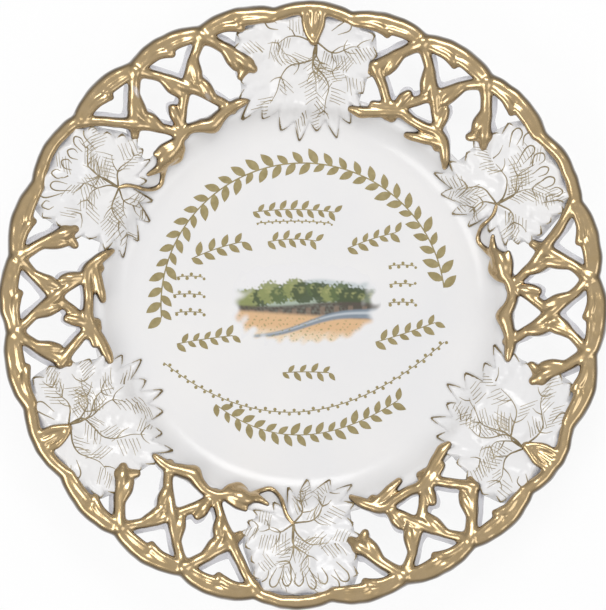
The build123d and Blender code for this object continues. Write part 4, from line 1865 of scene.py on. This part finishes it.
@dataclass
class WellPainting:
    """Gilt garlands and sprays in the flat of the well. Sizes in millimetres."""

    gold: bpy.types.Material
    form: PlateForm = FORM
    film_height: float = 0.05
    garland_radius: float = 76.5
    garland_start: float = 7.0
    garland_end: float = 185.0
    garland_leaf: float = 8.6
    garland_spacing: float = 3.9
    garland_stem: float = 0.7
    garland_points: int = 120
    stem_points: int = 40
    brush_load: float = 0.5
    spread: float = math.radians(48.0)
    sprays: tuple[Spray, ...] = (
        Spray("crest_spray", ((-27.0, 50.0), (-5.0, 51.5), (17.0, 50.0)), Motif.LEAF, 5.6, 2.9),
        Spray("crest_line", ((-25.0, 44.0), (-5.0, 45.2), (15.0, 44.0)), Motif.BERRY, 1.1, 2.0),
        Spray("top_spray", ((-19.0, 34.0), (-6.0, 35.5), (7.0, 34.5)), Motif.LEAF, 5.4, 2.8),
        Spray("upper_right_spray", ((24.0, 30.5), (37.0, 35.5), (50.0, 39.0)), Motif.LEAF, 6.2, 3.0),
        Spray("upper_left_spray", ((-60.0, 25.0), (-46.0, 30.5), (-33.0, 34.0)), Motif.LEAF, 7.0, 3.3),
        Spray("lower_right_spray", ((39.0, -20.0), (54.0, -15.5), (71.0, -9.5)), Motif.LEAF, 6.8, 3.2),
        Spray("lower_left_spray", ((-68.0, -21.0), (-54.0, -18.5), (-38.0, -16.5)), Motif.LEAF, 6.2, 3.0),
        Spray("bottom_spray", ((-11.0, -36.5), (1.0, -36.0), (14.0, -36.5)), Motif.LEAF, 5.4, 2.8),
        Spray("left_berries_1", ((-68.0, 15.0), (-61.0, 15.6), (-54.0, 15.0)), Motif.BERRY, 1.7, 2.3),
        Spray("left_berries_2", ((-70.0, 5.4), (-62.0, 6.0), (-54.0, 5.4)), Motif.BERRY, 1.7, 2.3),
        Spray("left_berries_3", ((-69.0, -4.2), (-61.5, -3.6), (-54.0, -4.2)), Motif.BERRY, 1.7, 2.3),
        Spray("right_berries_1", ((46.0, 21.0), (53.0, 21.6), (60.0, 21.0)), Motif.BERRY, 1.7, 2.3),
        Spray("right_berries_2", ((46.5, 11.0), (53.0, 11.6), (59.5, 11.0)), Motif.BERRY, 1.7, 2.3),
        Spray("right_berries_3", ((46.0, 1.0), (53.0, 1.6), (60.0, 1.0)), Motif.BERRY, 1.7, 2.3),
        Spray("beaded_line", ((-75.0, -31.0), (-1.0, -57.5), (76.0, -20.0)), Motif.BERRY, 1.6, 2.6),
        Spray("lower_garland", ((-47.0, -53.5), (-1.0, -70.0), (51.0, -51.5)), Motif.LEAF, 7.2, 3.4),
    )

    def leaf_motif(self) -> bpy.types.Object:
        """A small pointed leaf of unit length, lying along X.

        Returns:
            The motif, to be removed after use.
        """
        steps = np.linspace(0, 1, 7)
        half = 0.25 * np.sin(math.pi * steps) ** 0.8 * (1.15 - 0.4 * steps)
        left = np.column_stack((steps, half, np.zeros(len(steps))))
        right = np.column_stack((steps, -half, np.zeros(len(steps))))[1:-1]
        last = len(steps) - 1
        faces = [(0, len(steps), 1)]
        faces += [(i, len(steps) + i - 1, len(steps) + i, i + 1) for i in range(1, last - 1)]
        faces.append((last - 1, len(steps) + last - 2, last))
        return mesh_object("leaf_motif", np.vstack((left, right)), faces, self.gold)

    def berry_motif(self) -> bpy.types.Object:
        """A small round berry of unit width on a short stalk.

        Returns:
            The motif, to be removed after use.
        """
        turn = np.linspace(0, 2 * math.pi, 12, endpoint=False)
        points = np.column_stack((0.75 + 0.5 * np.cos(turn), 0.5 * np.sin(turn), np.zeros(len(turn))))
        return mesh_object("berry_motif", points, [tuple(range(len(turn)))], self.gold)

    def garland(self) -> Points:
        """The long garland's stem, an arc round the upper half of the well."""
        turn = np.radians(np.linspace(self.garland_start, self.garland_end, self.garland_points))
        return np.column_stack((np.cos(turn), np.sin(turn))) * self.garland_radius

    def spray(self, plan: Spray, line: Points, motif: bpy.types.Object, seed: int) -> None:
        """Set the motifs and the stem of one spray on the well's floor.

        Args:
            plan: The spray's sizes.
            line: The stem in plan.
            motif: Shape set along the stem.
            seed: Varies the motifs.
        """
        flat = np.ones(len(line))
        rows = np.column_stack((line, flat * self.film_height, flat * self.brush_load))
        helper = line_mesh(f"{plan.name}_line", [rows])
        values = {
            "Motif": motif, "Motif Length": plan.motif_length, "Spacing": plan.spacing,
            "Spread": self.spread, "Stem Width": plan.stem_width, "Seed": seed, "Material": self.gold,
        }
        apply_tree(helper, *TREES["sprays"], values)
        mesh = settle(helper, plan.name)
        set_points(mesh, self.form.drape(get_points(mesh)))
        piece = put_in_scene(plan.name, mesh)
        hand_over(piece, "gilded_porcelain")

    def build(self) -> None:
        """Paint the garland and every spray."""
        motifs = {Motif.LEAF: self.leaf_motif(), Motif.BERRY: self.berry_motif()}
        middle = ((0.0, 0.0),) * 3
        sizes = self.garland_leaf, self.garland_spacing, self.garland_stem
        top = Spray("upper_garland", middle, Motif.LEAF, *sizes)
        self.spray(top, self.garland(), motifs[Motif.LEAF], 0)
        for seed, plan in enumerate(self.sprays, 1):
            self.spray(plan, bend(*plan.stem, self.stem_points), motifs[plan.motif], seed)
        for motif in motifs.values():
            bpy.data.objects.remove(motif)


@dataclass
class Landscape:
    """Small soft-edged landscape in enamel: hills, round trees, a dark bank, a meadow and a stream."""

    enamel: bpy.types.Material
    form: PlateForm = FORM
    glaze: str = "#eae9ea"
    far_hills: str = "#b4c0c2"
    near_hills: str = "#9fae98"
    tree_greens: tuple[str, ...] = ("#55653a", "#728049", "#435030", "#8a9158")
    tree_light: str = "#a3a56a"
    bank: str = "#4f453c"
    bank_light: str = "#8a7563"
    meadow: str = "#dcb488"
    meadow_light: str = "#ecd9bd"
    water: str = "#7f8c99"
    water_light: str = "#c7ced4"
    shrubs: str = "#8f8a58"
    grain_size: float = 2.4
    tree_spots: tuple[float, ...] = tuple(np.linspace(-0.92, 0.92, 17))
    crown_aspect: float = 1.7
    corner_power: float = 2.6
    centre: tuple[float, float] = (1.0, 0.5)
    half_width: float = 41.0
    half_height: float = 22.5
    cell: float = 0.42
    film_height: float = 0.03
    seed: int = 41

    def colours(self, across: Points, up: Points) -> Points:
        """Paint the scene from back to front.

        Args:
            across: Place from -1 at the left to 1 at the right.
            up: Place from -1 at the foot to 1 at the top.

        Returns:
            Linear colours, one row each.
        """
        rng = np.random.default_rng(self.seed)
        spots = np.column_stack((across * self.half_width, up * self.half_height))
        grain = ripple(spots, self.grain_size, self.seed)
        canvas = np.tile(np.array(linear(self.glaze)), (len(across), 1))

        def lay(code: str, share: Points) -> None:
            """Brush one colour over the canvas.

            Args:
                code: Colour.
                share: How far it covers each place.
            """
            nonlocal canvas
            share = np.clip(share, 0, 1)[:, None]
            canvas = canvas * (1 - share) + np.array(linear(code)) * share

        # Hills
        ridge = 0.5 + 0.14 * np.sin(2.3 * across + 0.4) + 0.06 * np.sin(6.1 * across + 1.0)
        lay(self.far_hills, smooth_step(ridge - up, 0, 0.12) * 0.75)
        lay(self.near_hills, smooth_step(ridge - 0.2 - up, 0, 0.1) * 0.8)
        # Round trees, lit from the upper left
        for step in self.tree_spots:
            x = step + rng.uniform(-0.03, 0.03)
            y = 0.2 + 0.1 * math.cos(3.1 * step) + rng.uniform(-0.05, 0.06)
            size = rng.uniform(0.11, 0.17)
            crown = np.hypot((across - x) * self.crown_aspect, up - y) / (size * self.crown_aspect)
            green = rng.choice(self.tree_greens)
            lay(green, smooth_step(-(crown + 0.14 * grain), -1.1, -0.8) * 0.95)
            lit = np.hypot((across - x + 0.03) * self.crown_aspect, up - y - 0.07) / size
            lay(self.tree_light, smooth_step(-lit, -0.7, -0.3) * (0.5 + 0.3 * grain))
        # Bank
        bank = 0.04 + 0.05 * np.sin(3.0 * across)
        lay(self.bank, smooth_step(bank - up, 0, 0.08) * (0.9 + 0.1 * grain))
        stripes = smooth_step(np.sin(across * 34), 0.2, 0.7)
        lay(self.bank_light, smooth_step(bank - 0.1 - up, 0, 0.06) * stripes * 0.7)
        # Meadow
        field_edge = -0.2 - 0.12 * across
        lay(self.meadow, smooth_step(field_edge - up, 0, 0.12))
        lay(self.meadow_light, smooth_step(field_edge - 0.32 - up, 0, 0.3) * (0.8 + 0.2 * grain))
        # Stream
        stream = -0.5 + 0.34 * across + 0.08 * np.sin(4.0 * across)
        width = 0.1 + 0.05 * across
        lay(self.water, smooth_step(width - np.abs(up - stream), 0, 0.06) * 0.95)
        lay(self.water_light, smooth_step(width * 0.4 - np.abs(up - stream - 0.02), 0, 0.05) * 0.8)
        # Shrubs on the meadow
        shrub = smooth_step(grain, 0.7, 1.2) * smooth_step(field_edge - up, 0.05, 0.2)
        lay(self.shrubs, shrub * 0.7)
        fade = self.fade(across, up)[:, None]
        return np.array(linear(self.glaze)) * (1 - fade) + canvas * fade

    def fade(self, across: Points, up: Points) -> Points:
        """How far the paint covers the glaze: 1 within, 0 past a ragged oval edge.

        Args:
            across: Place from -1 at the left to 1 at the right.
            up: Place from -1 at the foot to 1 at the top.

        Returns:
            One share each.
        """
        spots = np.column_stack((across * self.half_width, up * self.half_height))
        power = self.corner_power
        reach = (np.abs(across) ** power + np.abs(up) ** power) ** (1 / power)
        return smooth_step(0.97 - reach + 0.06 * ripple(spots, 9.0, self.seed + 1), 0.0, 0.2)

    def build(self) -> bpy.types.Object:
        """Lay the picture on the well as a thin film with a colour at every point.

        Returns:
            The finished piece.
        """
        columns = int(2 * self.half_width / self.cell)
        lines = int(2 * self.half_height / self.cell)
        grid_x, grid_y = np.meshgrid(np.linspace(-1, 1, columns), np.linspace(-1, 1, lines))
        across, up = grid_x.ravel(), grid_y.ravel()
        plan = np.column_stack(
            (
                self.centre[0] + across * self.half_width,
                self.centre[1] + up * self.half_height,
                np.full(len(across), self.film_height),
            )
        )
        corners = [
            (row * columns + i, row * columns + i + 1, (row + 1) * columns + i + 1, (row + 1) * columns + i)
            for row in range(lines - 1)
            for i in range(columns - 1)
        ]
        share = self.fade(across, up)
        faces = [face for face in corners if max(share[list(face)]) > 0]
        used = np.unique(faces)
        slot = {int(v): k for k, v in enumerate(used)}
        faces = [tuple(slot[v] for v in face) for face in faces]
        piece = mesh_object("painted_landscape", self.form.drape(plan)[used], faces, self.enamel)
        paint = piece.data.attributes.new("paint", "FLOAT_COLOR", "POINT")
        paint.data.foreach_set("color", self.colours(across, up)[used].astype(np.float32).ravel())
        hand_over(piece, "white_porcelain")
        return piece


@dataclass
class Studio:
    """White sweep, soft boxes round the plate, and a camera straight above.

    A box is its azimuth, its elevation and its watts.
    """

    camera_height: float = 1.30
    crest_level: float = 0.035
    view_across: float = 0.3221
    sensor: float = 36.0
    box_size: tuple[float, float] = (0.55, 0.34)
    box_distance: float = 1.0
    boxes: tuple[tuple[float, float, float], ...] = (
        (80.0, 58.0, 3.0), (215.0, 52.0, 2.2), (330.0, 46.0, 0.9),
    )
    zenith: float = 0.64
    horizon: float = 0.43
    dusk: tuple[float, float] = (0.25, 0.80)
    sweep_colour: str = "#f7f7f7"
    sweep_roughness: float = 0.9
    sweep_glow: float = 0.88
    sweep_half: float = 4.0

    def build(self) -> None:
        """Set the floor, the lights, the surroundings and the camera."""
        self.floor()
        self.lights()
        self.surroundings()
        self.camera()
        bpy.context.scene.view_settings.view_transform = "Standard"

    def floor(self) -> None:
        """White sweep that keeps the plate's shadow."""
        material, tree, shader = new_material("white_sweep")
        shader.inputs["Base Color"].default_value = linear(self.sweep_colour)
        shader.inputs["Roughness"].default_value = self.sweep_roughness
        path = add_node(tree, "ShaderNodeLightPath")
        seen = path.outputs["Is Camera Ray"]
        for kind in ("Is Glossy Ray", "Is Transmission Ray"):
            both = add_node(tree, "ShaderNodeMath", {0: seen, 1: path.outputs[kind]}, operation="MAXIMUM")
            seen = both.outputs[0]
        share = add_node(tree, "ShaderNodeMath", {0: seen, 1: self.sweep_glow}, operation="MULTIPLY")
        glow = add_node(tree, "ShaderNodeEmission", {"Color": (1.0, 1.0, 1.0, 1.0), "Strength": 1.0})
        mixed = add_node(
            tree, "ShaderNodeMixShader", {0: share.outputs[0], 1: shader.outputs[0], 2: glow.outputs[0]}
        )
        tree.links.new(mixed.outputs[0], tree.nodes["Material Output"].inputs["Surface"])
        half = self.sweep_half
        points = np.array([(-half, -half, 0.0), (half, -half, 0.0), (half, half, 0.0), (-half, half, 0.0)])
        mesh_object("white_sweep", points, [(0, 1, 2, 3)], material)

    def lights(self) -> None:
        """Soft boxes round the plate, all turned to its centre."""
        for order, (azimuth, elevation, power) in enumerate(self.boxes):
            turn, rise = math.radians(azimuth), math.radians(elevation)
            level = math.cos(rise)
            spot = Vector((math.cos(turn) * level, math.sin(turn) * level, math.sin(rise)))
            data = bpy.data.lights.new(f"soft_box_{order + 1}", "AREA")
            data.shape = "RECTANGLE"
            data.size, data.size_y = self.box_size
            data.energy = power
            lamp = put_in_scene(data.name, data)
            lamp.location = spot * self.box_distance
            lamp.rotation_euler = (-spot).to_track_quat("-Z", "Y").to_euler()

    def surroundings(self) -> None:
        """Room that is pale overhead and dim at the horizon, which gives the gold its dark edges."""
        world = bpy.data.worlds.new("pale_room")
        world.use_nodes = True
        tree = world.node_tree
        place = add_node(tree, "ShaderNodeTexCoord").outputs["Generated"]
        height = add_node(tree, "ShaderNodeSeparateXYZ", {0: place}).outputs[2]
        level = add_node(
            tree, "ShaderNodeMapRange",
            {0: height, 1: self.dusk[0], 2: self.dusk[1], 3: self.horizon, 4: self.zenith},
        )
        tree.links.new(level.outputs[0], tree.nodes["Background"].inputs["Strength"])
        tree.nodes["Background"].inputs["Color"].default_value = (1.0, 1.0, 1.0, 1.0)
        bpy.context.scene.world = world

    def camera(self) -> None:
        """Long lens straight above, with +Y at the top of the picture."""
        data = bpy.data.cameras.new("overhead")
        data.sensor_width = self.sensor
        data.lens = self.sensor * (self.camera_height - self.crest_level) / self.view_across
        camera = put_in_scene("overhead", data)
        camera.location = (0.0, 0.0, self.camera_height)
        bpy.context.scene.camera = camera


TREES: dict[str, tuple[bpy.types.NodeTree, dict[str, str]]] = {}


def main() -> None:
    """Build the plate in order and report each piece."""
    logging.basicConfig(level=logging.INFO, format="%(message)s")
    TREES.update(tubes=tube_tree(), strokes=stroke_tree(), sprays=spray_tree())
    glaze = PorcelainGlaze().material()
    gilding = FiredGold().material()
    gold_line = GoldLine().material()
    ornament_gold = GoldLine("brushed_gold_ornament", "#94865a", "#bdaf85", metallic=0.3).material()
    enamel = OverglazeEnamel().material()
    Dish(glaze).build()
    for repeat in range(FORM.repeats):
        for kind in LeafKind:
            leaf = VineLeaf(kind, repeat, glaze)
            leaf.build()
            LeafPainting(leaf, gold_line).build()
        for panel in Panel:
            PiercedPanel(panel, repeat, gilding).build()
    WellPainting(ornament_gold).build()
    Landscape(enamel).build()
    Studio().build()


if __name__ == "__main__":
    main()
